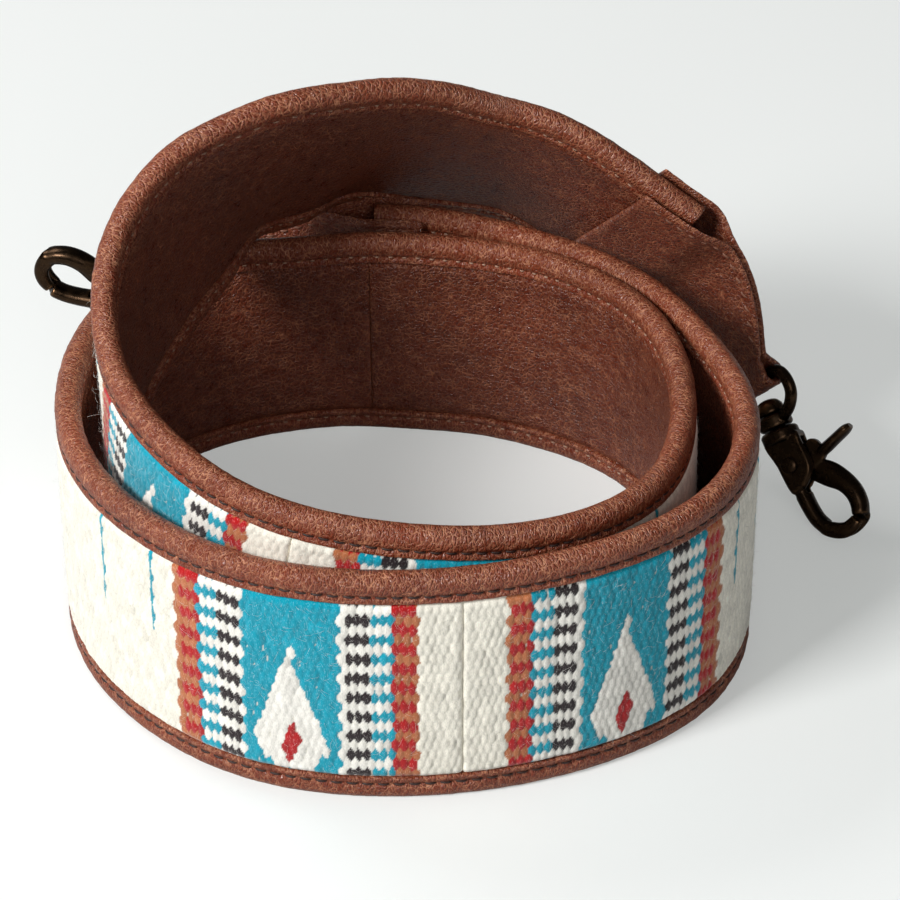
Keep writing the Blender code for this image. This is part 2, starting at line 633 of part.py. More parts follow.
def build_hook(end, route, at_end, directions):
    """The swivel hook of one end, hanging from the bar of its eye inside the tab's fold."""
    origin, _, bar, _ = route.frame(route.length if at_end else 0.0)
    stud = np.array(directions[0])
    stud = unit(stud - bar * (stud @ bar))
    loop = np.array(directions[1])
    loop = unit(loop - stud * (loop @ stud))
    eye = placed(build_eye(f"swivel_eye_{end}", bronze(f"eye_bronze_{end}")), origin, stud, bar)
    stud_obj = placed(build_stud(f"swivel_stud_{end}", bronze(f"stud_bronze_{end}")), origin, stud, loop)
    body = placed(build_hook_body(f"hook_body_{end}", bronze(f"hook_bronze_{end}")), origin, stud, loop)
    pin = placed(build_pin(f"lever_pin_{end}", bronze(f"pin_bronze_{end}")), origin, stud, loop)
    lever = build_lever(f"trigger_lever_{end}", bronze(f"lever_bronze_{end}"))
    placed(lever, origin, stud, loop, hook_along(PIN_SHARE))
    spring = placed(build_spring(f"lever_spring_{end}", steel(f"spring_steel_{end}")), origin, stud, loop)
    return [eye, stud_obj, body, pin, lever, spring], (origin, bar, stud, loop)


def coil_gap(route):
    """The least gap between one turn's surface and another's, on points of the middle surface."""
    arcs = np.linspace(0, route.length, 420)
    place, _, across, _ = route.frame(arcs)
    half = np.minimum(tab_half_width(arcs), tab_half_width(route.length - arcs)) - STRAP_THICKNESS / 2
    cover = ((arcs > TIP_TO_STRAP - TAB_CLOSE) & (arcs < TIP_TO_STRAP + TAB_OVERLAP)) | (
        (arcs < route.length - TIP_TO_STRAP + TAB_CLOSE) & (arcs > route.length - TIP_TO_STRAP - TAB_OVERLAP)
    )
    thick = STRAP_THICKNESS / 2 + np.where(cover, WOOL_BULGE + GAP + TAB_LEATHER, 0)
    shares = np.linspace(-1, 1, 13)
    points = place[:, None] + across[:, None] * (half[:, None] * shares)[..., None]
    least = (1.0, 0, 0)
    for row in range(0, len(arcs)):
        far = np.flatnonzero(np.abs(arcs - arcs[row]) > STRAP_WIDTH)
        apart = np.linalg.norm(points[far][:, :, None] - points[row][None, None], axis=3).min(axis=(1, 2))
        free = apart - thick[far] - thick[row]
        best = int(free.argmin())
        if free[best] < least[0]:
            least = (free[best], route_angle(route, arcs[row]), route_angle(route, arcs[far[best]]))
    return least


def route_angle(route, arc):
    return float(np.interp(arc, route.arc, route.angle))


def settle(objects):
    """Moves everything so that the lowest point is at height zero and the middle is over the origin."""
    bpy.context.view_layer.update()
    corners = []
    for obj in objects:
        points = np.empty(len(obj.data.vertices) * 3)
        obj.data.vertices.foreach_get("co", points)
        world = np.array(obj.matrix_world)
        corners.append(points.reshape(-1, 3) @ world[:3, :3].T + world[:3, 3])
    corners = np.concatenate(corners)
    low = corners.min(axis=0)
    high = corners.max(axis=0)
    shift = -np.array([(low[0] + high[0]) / 2, (low[1] + high[1]) / 2, low[2]])
    for obj in objects:
        obj.location = np.array(obj.location) + shift
    bpy.context.view_layer.update()
    return shift, high - low


def millimetres(values):
    return [round(float(v) * 1000, 3) for v in values]


def build():
    clear_scene()
    route = Route()
    made = build_strap(route)
    made.append(build_tab("end_tab_right", route, False, leather("right_tab_leather", TAB_RGB)))
    made.append(build_tab("end_tab_left", route, True, leather("left_tab_leather", TAB_RGB)))
    right, right_axes = build_hook("right", route, False, FIRST_HOOK_SHARES)
    left, left_axes = build_hook("left", route, True, LAST_HOOK_SHARES)
    made += right + left
    shift, size = settle(made)
    print("tip to tip", round(route.length * 1000, 1), "mm, overall", millimetres(size), "moved by", millimetres(shift))
    print("least gap between turns in mm, at the two angles:", [round(v, 3) for v in np.array(coil_gap(route)) * (1000, 1, 1)])
    for name, (origin, bar, stud, loop) in (("right", right_axes), ("left", left_axes)):
        pin = origin + stud * hook_along(PIN_SHARE) + shift
        print(name, "eye at", millimetres(origin + shift), "bar", bar.round(5).tolist(), "stud", stud.round(5).tolist())
        print(name, "pin at", millimetres(pin), "axis", np.cross(stud, loop).round(5).tolist())
    seat = strap_stations(route)
    seat = seat[np.abs(seat - np.interp(SEAT_ANGLE, route.angle, route.arc)).argmin()]
    print("flat seat under", millimetres(route.frame(seat)[0] + shift))


build()
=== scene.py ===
import json
import math

import bpy
import numpy as np
from mathutils import Matrix


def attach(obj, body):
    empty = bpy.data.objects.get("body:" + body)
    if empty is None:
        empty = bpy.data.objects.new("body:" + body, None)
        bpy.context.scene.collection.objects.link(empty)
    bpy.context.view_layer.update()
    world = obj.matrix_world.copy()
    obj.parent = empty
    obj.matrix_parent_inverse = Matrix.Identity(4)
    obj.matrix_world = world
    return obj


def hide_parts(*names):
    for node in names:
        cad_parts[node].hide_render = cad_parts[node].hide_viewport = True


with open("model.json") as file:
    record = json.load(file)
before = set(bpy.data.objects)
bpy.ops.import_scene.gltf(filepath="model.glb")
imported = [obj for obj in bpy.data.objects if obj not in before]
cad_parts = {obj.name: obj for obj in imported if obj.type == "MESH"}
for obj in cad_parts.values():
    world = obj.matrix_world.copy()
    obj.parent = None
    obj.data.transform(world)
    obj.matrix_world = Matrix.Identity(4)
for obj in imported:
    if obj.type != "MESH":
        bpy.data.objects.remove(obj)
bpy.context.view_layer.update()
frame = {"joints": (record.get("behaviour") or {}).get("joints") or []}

# Wool face
# Four woven panels sewn end to end, each a thick wool tapestry. Fat wefts run across the strap and pass over
# and under warps that run along it, so every colour shows as short round floats laid in brick order.

STRAP_WIDTH = 0.050
STRAP_THICKNESS = 0.0047
COIL_RADIUS = 0.050
TURN_GAP = 0.0005
TIP_TO_STRAP = 0.0335
GAP = 0.0003

# The strap's middle line, from one tab's tip to the other's: angle in degrees, radius as a share of the coil
# radius, layers of strap outside it, height as a share of half the width, and the top's lean in degrees. The rows
# from 80 to 132 degrees sit lower than part.py's, to bring the lower edge down as in the photo.
ROUTE_SHARES = (
    (29, 1.33, 2, 0.91, 3), (38, 1.233, 2, 1.365, 12.5), (48, 1.127, 2, 1.789, 22.9), (58, 1.048, 2, 2.157, 29.6),
    (70, 1.024, 1.5, 2.428, 34.2), (80, 0.993, 1.1, 2.54, 36), (92, 0.938, 0.7, 2.716, 38.5),
    (105, 0.880, 0.3, 2.815, 32.5), (120, 0.861, 0.1, 2.885, 29.5), (132, 0.872, 0, 2.87, 23.6),
    (141, 0.889, 0, 2.801, 18), (150, 0.924, 0, 2.692, 12.5), (158, 0.957, 0, 2.566, 8.5), (165, 0.986, 0, 2.436, 5.8),
    (173, 1.016, 0, 2.272, 3.5), (181, 1.04, 0, 2.10, 2),
    (195, 1.064, 0, 1.824, 0), (210, 1.068, 0, 1.624, 0), (225, 1.056, 0, 1.476, 0), (240, 1.04, 0, 1.368, 0),
    (255, 1.016, 0, 1.284, 0), (270, 0.998, 0, 1.208, 0), (285, 1.0, 0, 1.136, 0), (300, 1.02, 0, 1.08, 0),
    (315, 1.04, 0, 1.032, 0), (330, 1.044, 0, 1.004, 0), (345, 1.028, 0, 1.0, 1), (360, 1.02, 0, 1.0, 2),
    (375, 1.036, 0, 1.0, 4), (390, 1.05, 0, 1.0, 5), (405, 1.04, 0, 1.0, 6), (420, 1.018, 0, 1.0, 6),
    (435, 1.0, 0, 1.0, 7), (450, 1.004, 0, 1.0, 7), (465, 1.03, 0.15, 1.0, 8), (475, 1.03, 0.5, 1.0, 8),
    (485, 1.06, 0.8, 1.0, 6), (495, 1.092, 1, 1.0, 4), (510, 1.122, 1, 1.0, 1), (525, 1.124, 1, 1.0, 0),
    (540, 1.12, 1, 1.0, 0), (555, 1.118, 1, 1.0, 0), (570, 1.102, 1, 1.0, 0), (585, 1.082, 1, 1.0, 0),
    (600, 1.064, 1, 1.0, 0), (615, 1.036, 1, 1.0, 0), (630, 1.016, 1, 1.0, 0), (645, 1.02, 1, 1.0, 0),
    (660, 1.05, 1, 1.0, 0), (675, 1.104, 1, 1.0, 0), (690, 1.154, 1, 1.0, 0), (705, 1.152, 1, 1.0, 0),
    (720, 1.112, 1, 1.0, 1), (735, 1.072, 1, 1.0, 4), (750, 1.054, 1, 1.0, 5), (765, 1.044, 1, 1.0, 6),
    (780, 1.026, 1, 1.0, 6), (795, 1.034, 1, 1.0, 5), (810, 1.074, 1, 1.0, 5), (822, 1.112, 1, 1.0, 4.5),
    (832, 1.172, 1, 1.0, 2), (845, 1.286, 1, 1.0, 0),
)
WOOL_SEAM_SHARES = (0.2795, 0.5088, 0.7383)

PICK = 0.000701
HALF_PICKS = 135
WARP = 0.00217
WARPS = 18
WOOL_HALF_WIDTH = 0.0204
WOOL_VISIBLE = 0.0194
YARN_HEIGHT = 0.00036
YARN_BACK = 0.0009
PANEL_COLUMNS = 112

# The picks from a seam to the middle of a panel, one letter each; the rest is cream.
SETT = "c" * 11 + "o" + "roror" + "twtwt" + "w" + "kwkwk" + "ww" + "t" * 24 + "w" + "kwkwk" + "w" + "twtwt" + "roror" + "oo"
YARN_SHADES = {
    "c": (248, 243, 228), "o": (188, 114, 72), "r": (180, 20, 24), "t": (0, 158, 182), "w": (246, 243, 234),
    "k": (40, 29, 32)
}
# How full each colour's yarn is beside the others: a fuller float shows wider.
YARN_FULLNESS = {"c": 1.0, "o": 0.93, "r": 1.08, "t": 1.0, "w": 1.02, "k": 1.0}
FLAME_PICK = 42
# Half widths in picks of the stepped flame and of its red heart, warp by warp from the tip down.
FLAME_PICKS = (0.5, 1.2, 2, 3, 4, 5, 6, 7, 8, 9, 9, 7, 5)
HEART_PICKS = (0, 0, 0, 0, 0, 0, 0, 0, 1, 1.5, 1.5, 1, 0)
FLAME_TIP_WARP = 12
FLAME_LIFT = ((0, 2), (1, 0), (0, 0), (0, 1))
LINE_PICKS = (80, 99)
LINE_END_WARP = 10
LINE_FULLNESS = 0.86
SEAM_DIP = 0.0005
SEAM_CLOSE = 0.00004


def joint(name):
    return next(row for row in frame["joints"] if row["name"] == name)


def unit(vectors):
    return vectors / np.linalg.norm(vectors, axis=-1, keepdims=True)


def linear(red, green, blue):
    """A screen colour, 0 to 255, as linear light: ((c + 0.055) / 1.055) to the power 2.4."""
    screen = np.array([red, green, blue]) / 255
    return np.where(screen < 0.04045, screen / 12.92, ((screen + 0.055) / 1.055) ** 2.4)


def spline_at(stations, values, at):
    """A natural cubic spline: on each interval the curve whose second slopes at the stations agree."""
    step = np.diff(stations)
    count = len(stations)
    matrix = np.eye(count)
    right = np.zeros(count)
    for row in range(1, count - 1):
        matrix[row, row - 1 : row + 2] = step[row - 1], 2 * (step[row - 1] + step[row]), step[row]
        rise = np.diff(values[row - 1 : row + 2]) / step[row - 1 : row + 1]
        right[row] = 6 * (rise[1] - rise[0])
    bend = np.linalg.solve(matrix, right)
    part = np.clip(np.searchsorted(stations, at) - 1, 0, count - 2)
    before = stations[part + 1] - at
    past = at - stations[part]
    width = step[part]
    cubic = (bend[part] * before**3 + bend[part + 1] * past**3) / (6 * width)
    left = (values[part] / width - bend[part] * width / 6) * before
    return cubic + left + (values[part + 1] / width - bend[part + 1] * width / 6) * past


def strap_route(samples=4000):
    """The middle line as rows of arc length, place, direction, width direction and outward direction.
    Place = (r cos a, r sin a, z), the width direction is upright leaned inwards, and outward is square to both."""
    table = np.array(ROUTE_SHARES)
    angle = np.linspace(table[0, 0], table[-1, 0], samples)
    radius = COIL_RADIUS * table[:, 1] + (STRAP_THICKNESS + TURN_GAP) * table[:, 2]
    radius = spline_at(table[:, 0], radius, angle)
    height = spline_at(table[:, 0], STRAP_WIDTH / 2 * table[:, 3], angle)
    lean = np.radians(spline_at(table[:, 0], table[:, 4], angle))[:, None]
    turned = np.radians(angle)
    place = np.stack([radius * np.cos(turned), radius * np.sin(turned), height], axis=1)
    along = unit(np.gradient(place, axis=0))
    level = unit(np.stack([along[:, 1], -along[:, 0], np.zeros(samples)], axis=1))
    upright = np.cross(level, along)
    across = unit(upright * np.cos(lean) - level * np.sin(lean))
    outward = unit(level * np.cos(lean) + upright * np.sin(lean))
    arc = np.concatenate([[0], np.cumsum(np.linalg.norm(np.diff(place, axis=0), axis=1))])
    place = place - place[0] + np.array(joint("eye_swing_right")["pos_m"])
    return arc, place, along, across, outward


ROUTE = strap_route()
LENGTH = ROUTE[0][-1]
SEAMS = LENGTH * np.array(WOOL_SEAM_SHARES)


def strap_frame(arc):
    """Place, direction, width direction and outward direction at any arc length, straight on past an end."""
    rows = [np.stack([np.interp(arc, ROUTE[0], values[:, k]) for k in range(3)], axis=-1) for values in ROUTE[1:]]
    place, along, across, outward = rows
    beyond = arc - np.clip(arc, 0, LENGTH)
    return place + unit(along) * beyond[..., None], unit(along), unit(across), unit(outward)


def on_strap(arc, across, out):
    """Points at this arc length, this far across the strap and this far out of its middle, never under the floor."""
    arc, across, out = np.broadcast_arrays(arc, across, out)
    place, _, width, outward = strap_frame(arc[:, 0])
    points = place[:, None] + width[:, None] * across[..., None] + outward[:, None] * out[..., None]
    points[..., 2] = np.maximum(points[..., 2], 0)
    return points


def ring_quads(rings, sides, closed=False):
    """Corners of the quads between neighbouring rings of points."""
    ring = np.arange(rings if closed else rings - 1)[:, None]
    side = np.arange(sides)[None, :]
    here = ring * sides
    after = (ring + 1) % rings * sides
    beside = (side + 1) % sides
    return np.stack([here + side, here + beside, after + beside, after + side], axis=-1).reshape(-1, 4)


def mesh_piece(name, points, faces, surface, smooth=True):
    """A piece with these points and faces, turned inside out where six times its volume comes out negative."""
    mesh = bpy.data.meshes.new(name)
    mesh.from_pydata(points.reshape(-1, 3).tolist(), [], faces)
    mesh.update()
    mesh.calc_loop_triangles()
    corners = np.empty(len(mesh.loop_triangles) * 3, np.int32)
    mesh.loop_triangles.foreach_get("vertices", corners)
    if np.linalg.det(points.reshape(-1, 3)[corners].reshape(-1, 3, 3)).sum() < 0:
        mesh.flip_normals()
    mesh.polygons.foreach_set("use_smooth", np.full(len(mesh.polygons), smooth))
    obj = bpy.data.objects.new(name, mesh)
    obj.data.materials.append(surface)
    bpy.context.scene.collection.objects.link(obj)
    return obj


def swept_piece(name, points, surface, closed=False):
    """A closed body from rings of points, rows by sides, with a cap on each end where it isn't closed round."""
    rings, sides = points.shape[:2]
    faces = ring_quads(rings, sides, closed).tolist()
    if not closed:
        faces += [list(range(sides))[::-1], list(range((rings - 1) * sides, rings * sides))]
    return mesh_piece(name, points, faces, surface)


def point_value(obj, name, values):
    """Keeps one number, or one colour, for each point of the mesh."""
    values = np.asarray(values, dtype=np.float32)
    if values.ndim == 1:
        obj.data.attributes.new(name, "FLOAT", "POINT").data.foreach_set("value", values)
    else:
        full = np.concatenate([values, np.ones((len(values), 1), np.float32)], axis=1)
        obj.data.attributes.new(name, "FLOAT_COLOR", "POINT").data.foreach_set("color", full.ravel())


def wander(values, seed, longest):
    """A slow random wave between -1 and 1: the mean of five sines of falling length."""
    rng = np.random.default_rng(seed)
    total = np.zeros(np.shape(values))
    for wave in range(5):
        total = total + np.sin(2 * np.pi * (values * 1.7**wave / longest + rng.random()))
    return total / 5


def node(tree, kind, links=(), **settings):
    """Adds a shader node, sets its properties, and fills its sockets with values or other nodes' outputs."""
    made = tree.nodes.new(kind)
    for name, value in settings.items():
        setattr(made, name, value)
    for socket, value in dict(links).items():
        if isinstance(value, bpy.types.NodeSocket):
            tree.links.new(value, made.inputs[socket])
        else:
            made.inputs[socket].default_value = value
    return made


def colour_mix(tree, share, low, high):
    """The low colour where the share is 0 and the high one where it is 1."""
    return node(tree, "ShaderNodeMix", {0: share, 6: low, 7: high}, data_type="RGBA")


def new_surface(name, roughness, metallic=0.0):
    """A material with its node tree and its shader."""
    made = bpy.data.materials.new(name)
    made.use_nodes = True
    shader = made.node_tree.nodes["Principled BSDF"]
    shader.inputs["Roughness"].default_value = roughness
    shader.inputs["Metallic"].default_value = metallic
    return made, made.node_tree, shader


def wool_surface():
    """Dyed wool yarn: the float's own colour, lightened by loose fibres, with fine fibre bumps along the weft."""
    made, tree, shader = new_surface("wool_yarn", 0.95)
    shader.inputs["Sheen Weight"].default_value = 0.35
    shader.inputs["Sheen Roughness"].default_value = 0.5
    shader.inputs["Specular IOR Level"].default_value = 0.15
    place = node(tree, "ShaderNodeTexCoord").outputs["Object"]
    stretched = node(tree, "ShaderNodeMapping", {"Vector": place, "Scale": (1.0, 1.0, 0.35)})
    fibre = node(tree, "ShaderNodeTexNoise", {"Vector": stretched.outputs[0], "Scale": 5200.0, "Detail": 4.0})
    yarn = node(tree, "ShaderNodeAttribute", attribute_name="yarn")
    lint = node(
        tree, "ShaderNodeMapRange",
        {"Value": fibre.outputs["Fac"], "From Min": 0.56, "From Max": 0.78, "To Max": 0.30}
    )
    pale = colour_mix(tree, lint.outputs[0], yarn.outputs["Color"], (0.82, 0.80, 0.76, 1))
    shade = node(
        tree, "ShaderNodeMapRange",
        {"Value": fibre.outputs["Fac"], "From Min": 0.3, "From Max": 0.7, "To Min": 0.82, "To Max": 1.12}
    )
    toned = node(
        tree, "ShaderNodeVectorMath", {0: pale.outputs[2], 1: shade.outputs[0]}, operation="MULTIPLY"
    )
    tree.links.new(toned.outputs[0], shader.inputs["Base Color"])
    bump = node(
        tree, "ShaderNodeBump", {"Height": fibre.outputs["Fac"], "Strength": 0.5, "Distance": 0.00012}
    )
    tree.links.new(bump.outputs[0], shader.inputs["Normal"])
    return made


def yarn_colour(pick, warp, lifts):
    """The colour letter of each float: the sett counted from the nearer seam, with the flame, its heart and the lines."""
    letters = np.array(list(SETT + "c" * (HALF_PICKS - len(SETT) + 4)))
    far = pick >= HALF_PICKS
    count = np.where(far, 2 * HALF_PICKS - 1 - pick, pick)
    count = np.clip(np.abs(count), 0, HALF_PICKS)
    found = letters[count]
    step = FLAME_TIP_WARP + np.where(far, lifts[1], lifts[0]) - warp
    inside = (step >= 0) & (step < len(FLAME_PICKS))
    row = np.clip(step, 0, len(FLAME_PICKS) - 1)
    reach = np.abs(count + 0.5 - FLAME_PICK)
    found = np.where(inside & (reach <= np.array(FLAME_PICKS)[row]), "w", found)
    found = np.where(inside & (reach <= np.array(HEART_PICKS)[row]), "r", found)
    return np.where(is_line(pick, warp), "t", found)


def is_line(pick, warp):
    """True on the single teal picks, which float over every warp of the panel's upper half."""
    count = np.where(pick >= HALF_PICKS, 2 * HALF_PICKS - 1 - pick, pick)
    return np.isin(count, LINE_PICKS) & (warp >= LINE_END_WARP)


def weave(along, across, lifts, seed):
    """Height and colour of the cloth. Each float is a cap, fullness * sqrt(1 - (dp/a)^2 - (dw/b)^2), centred on
    pick p and warp w wherever p + w is even; the highest cap at a point is the yarn that shows there."""
    rng = np.random.default_rng(seed)
    loose = rng.normal(size=(4, 2 * HALF_PICKS + 40, WARPS + 12))
    picks = along / PICK + 0.35 * wander(across, seed, 0.021) + 0.25 * wander(along, seed + 1, 0.03)
    warps = across / WARP + WARPS / 2 + 0.18 * wander(along, seed + 2, 0.05)
    first = np.floor(picks).astype(int)
    line = np.floor(warps).astype(int)
    best = np.zeros(picks.shape)
    seen = np.full(picks.shape, "c")
    spot_seen = (first * 0, line * 0)
    for down in (-1, 0, 1):
        for over in (-1, 0, 1):
            pick = first + down
            warp = line + over
            letters = yarn_colour(pick, warp, lifts)
            stripe = is_line(pick, warp)
            spot = (np.clip(pick + 20, 0, loose.shape[1] - 1), np.clip(warp + 5, 0, loose.shape[2] - 1))
            full = sum(np.where(letters == letter, share, 0) for letter, share in YARN_FULLNESS.items())
            back = (picks - pick - 0.5 - 0.10 * loose[0][spot]) / (np.where(stripe, 0.62, 1.10) + 0.06 * loose[1][spot])
            side = (warps - warp - 0.5) / (np.where(stripe, 1.5, 0.80) + 0.04 * loose[2][spot])
            cap = full * np.sqrt(np.clip(1 - back**2 - side**2, 0, None)) * (1 + 0.08 * loose[3][spot])
            cap = np.where(stripe, cap * LINE_FULLNESS, cap)
            higher = (((pick + warp) % 2 == 0) | stripe) & (cap > best)
            best = np.where(higher, cap, best)
            seen = np.where(higher, letters, seen)
            spot_seen = tuple(np.where(higher, new, old) for new, old in zip(spot, spot_seen))
    colour = np.zeros((*picks.shape, 3))
    for letter, shade in YARN_SHADES.items():
        colour[seen == letter] = linear(*shade)
    # Painted shade: each float's colour darkens towards its low edges and the hollows between floats (0.80 at the foot
    # of a cap, 1 at its top), on top of a small random spread in tone per float.
    tone = (1 + 0.06 * loose[1][spot_seen]) * (0.80 + 0.20 * np.clip(best, 0, 1) ** 0.8)
    return best, colour * tone[..., None]


def build_panel(number, low, high, left_seam, surface):
    """One panel as a ring at each arc step: the woven face, its two selvedges tucked under the bindings, and a
    plain back. The face lies at out = half the strap's thickness, dips at the selvedges and turns down at a seam."""
    arc = np.linspace(low, high, int(round((high - low) / (PICK / 3))) + 1)[:, None]
    across = np.linspace(-WOOL_HALF_WIDTH, WOOL_HALF_WIDTH, PANEL_COLUMNS)[None, :]
    height, colour = weave(arc - left_seam + across * 0, across + arc * 0, FLAME_LIFT[number - 1], number)
    tuck = np.clip((np.abs(across) - WOOL_VISIBLE + 0.0012) / 0.0018, 0, 1)
    edge = np.minimum(arc - low, high - arc)
    turn = np.sqrt(np.clip(1 - (1 - np.clip(edge / 0.0012, 0, 1)) ** 2, 0, 1))
    out = STRAP_THICKNESS / 2 - 0.0001 + 0.00012 * wander(arc, number + 7, 0.04) - 0.0011 * tuck**2
    out = out + YARN_HEIGHT * (height - 0.45) * (1 - 0.8 * tuck) - SEAM_DIP * (1 - turn)
    back = np.full((len(arc), 1), YARN_BACK - 0.0005)
    side = np.full((len(arc), 1), WOOL_HALF_WIDTH)
    points = on_strap(
        arc, np.concatenate([-side, across + arc * 0, side], axis=1),
        np.concatenate([back, out, back], axis=1)
    )
    colour = np.concatenate([colour[:, :1], colour, colour[:, -1:]], axis=1)
    panel = swept_piece(f"wool_face_{number}", points, surface)
    point_value(panel, "yarn", colour.reshape(-1, 3))
    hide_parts(f"wool_panel_{number}")
    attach(panel, "strap")
    return panel


wool = wool_surface()
panel_ends = [TIP_TO_STRAP, *SEAMS, LENGTH - TIP_TO_STRAP]
for number in range(1, 5):
    left_seam = SEAMS[0] + (number - 2) * 2 * HALF_PICKS * PICK
    if number > 1:
        left_seam = SEAMS[number - 2]
    build_panel(number, panel_ends[number - 1] + SEAM_CLOSE, panel_ends[number] - SEAM_CLOSE, left_seam, wool)

# Wool fuzz
# Loose fibres that stand off the yarn and catch the light. They are the wool's own, so they ride with it and
# are thin three-sided hairs, bent once, thicker at the root than at the tip.

FUZZ_COUNT = 9400
FUZZ_RADIUS = 0.000019
STANDING_SHARE = 0.22


def fuzz_surface():
    """A single pale wool fibre, nearly white with a soft sheen."""
    made, tree, shader = new_surface("wool_fibre", 0.8)
    shader.inputs["Sheen Weight"].default_value = 0.5
    place = node(tree, "ShaderNodeTexCoord").outputs["Object"]
    patch = node(tree, "ShaderNodeTexNoise", {"Vector": place, "Scale": 260.0})
    tone = colour_mix(tree, patch.outputs["Fac"], (0.62, 0.60, 0.55, 1), (0.86, 0.84, 0.80, 1))
    tree.links.new(tone.outputs[2], shader.inputs["Base Color"])
    return made


def build_fuzz():
    """Each hair is a curve, root + t * reach * outward + t * t * bend * sideways, with three sides."""
    rng = np.random.default_rng(11)
    arc = rng.uniform(TIP_TO_STRAP + 0.012, LENGTH - TIP_TO_STRAP - 0.012, FUZZ_COUNT)
    width = rng.uniform(-WOOL_VISIBLE + 0.001, WOOL_VISIBLE - 0.001, FUZZ_COUNT)
    place, along, across, outward = strap_frame(arc)
    root = place + across * width[:, None] + outward * (STRAP_THICKNESS / 2 - 0.0001)
    turn = rng.uniform(0, 2 * np.pi, FUZZ_COUNT)[:, None]
    sideways = along * np.cos(turn) + across * np.sin(turn)
    stands = (rng.random(FUZZ_COUNT) < STANDING_SHARE)[:, None]
    reach = np.where(stands, rng.gamma(2.2, 0.00026, FUZZ_COUNT)[:, None], 0.00022) + 0.00016
    bend = rng.uniform(0.0005, 0.0024, FUZZ_COUNT)[:, None]
    rings = []
    for share, thick in ((0.0, 1.0), (0.4, 0.9), (0.75, 0.7), (1.0, 0.25)):
        middle = root + outward * reach * math.sin(share * 1.9) + sideways * bend * share**1.5
        for side in range(3):
            spin = 2 * np.pi * side / 3
            rings.append(middle + FUZZ_RADIUS * thick * (outward * math.cos(spin) + np.cross(outward, sideways) * math.sin(spin)))
    points = np.stack(rings, axis=1).reshape(FUZZ_COUNT, 4, 3, 3)
    one = np.concatenate([ring_quads(4, 3), [[0, 2, 1, 1]], [[9, 10, 11, 11]]])
    faces = (one[None] + 12 * np.arange(FUZZ_COUNT)[:, None, None]).reshape(-1, 4).tolist()
    faces = [face[:3] if face[2] == face[3] else face for face in faces]
    fuzz = mesh_piece("wool_fuzz", points, faces, fuzz_surface())
    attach(fuzz, "strap")


build_fuzz()

# Edge bindings
# One leather strip is folded over each long edge and sewn through all the layers. It is an oiled, pebbled
# leather that pales in its creases and where hands rub the rolled edge.

BINDING_DEPTH = 0.0054
STITCH_FROM_EDGE = 0.0039
STITCH_PITCH = 0.0027
STITCH_START = TIP_TO_STRAP + 0.012
GROOVE_DEPTH = 0.00038
GROOVE_HALF_WIDTH = 0.00050
BINDING_STEP = 0.0007
# Folding pulls the creases out across the roll: they are this much closer along it than across it.
ROLL_CREASE = 1.35


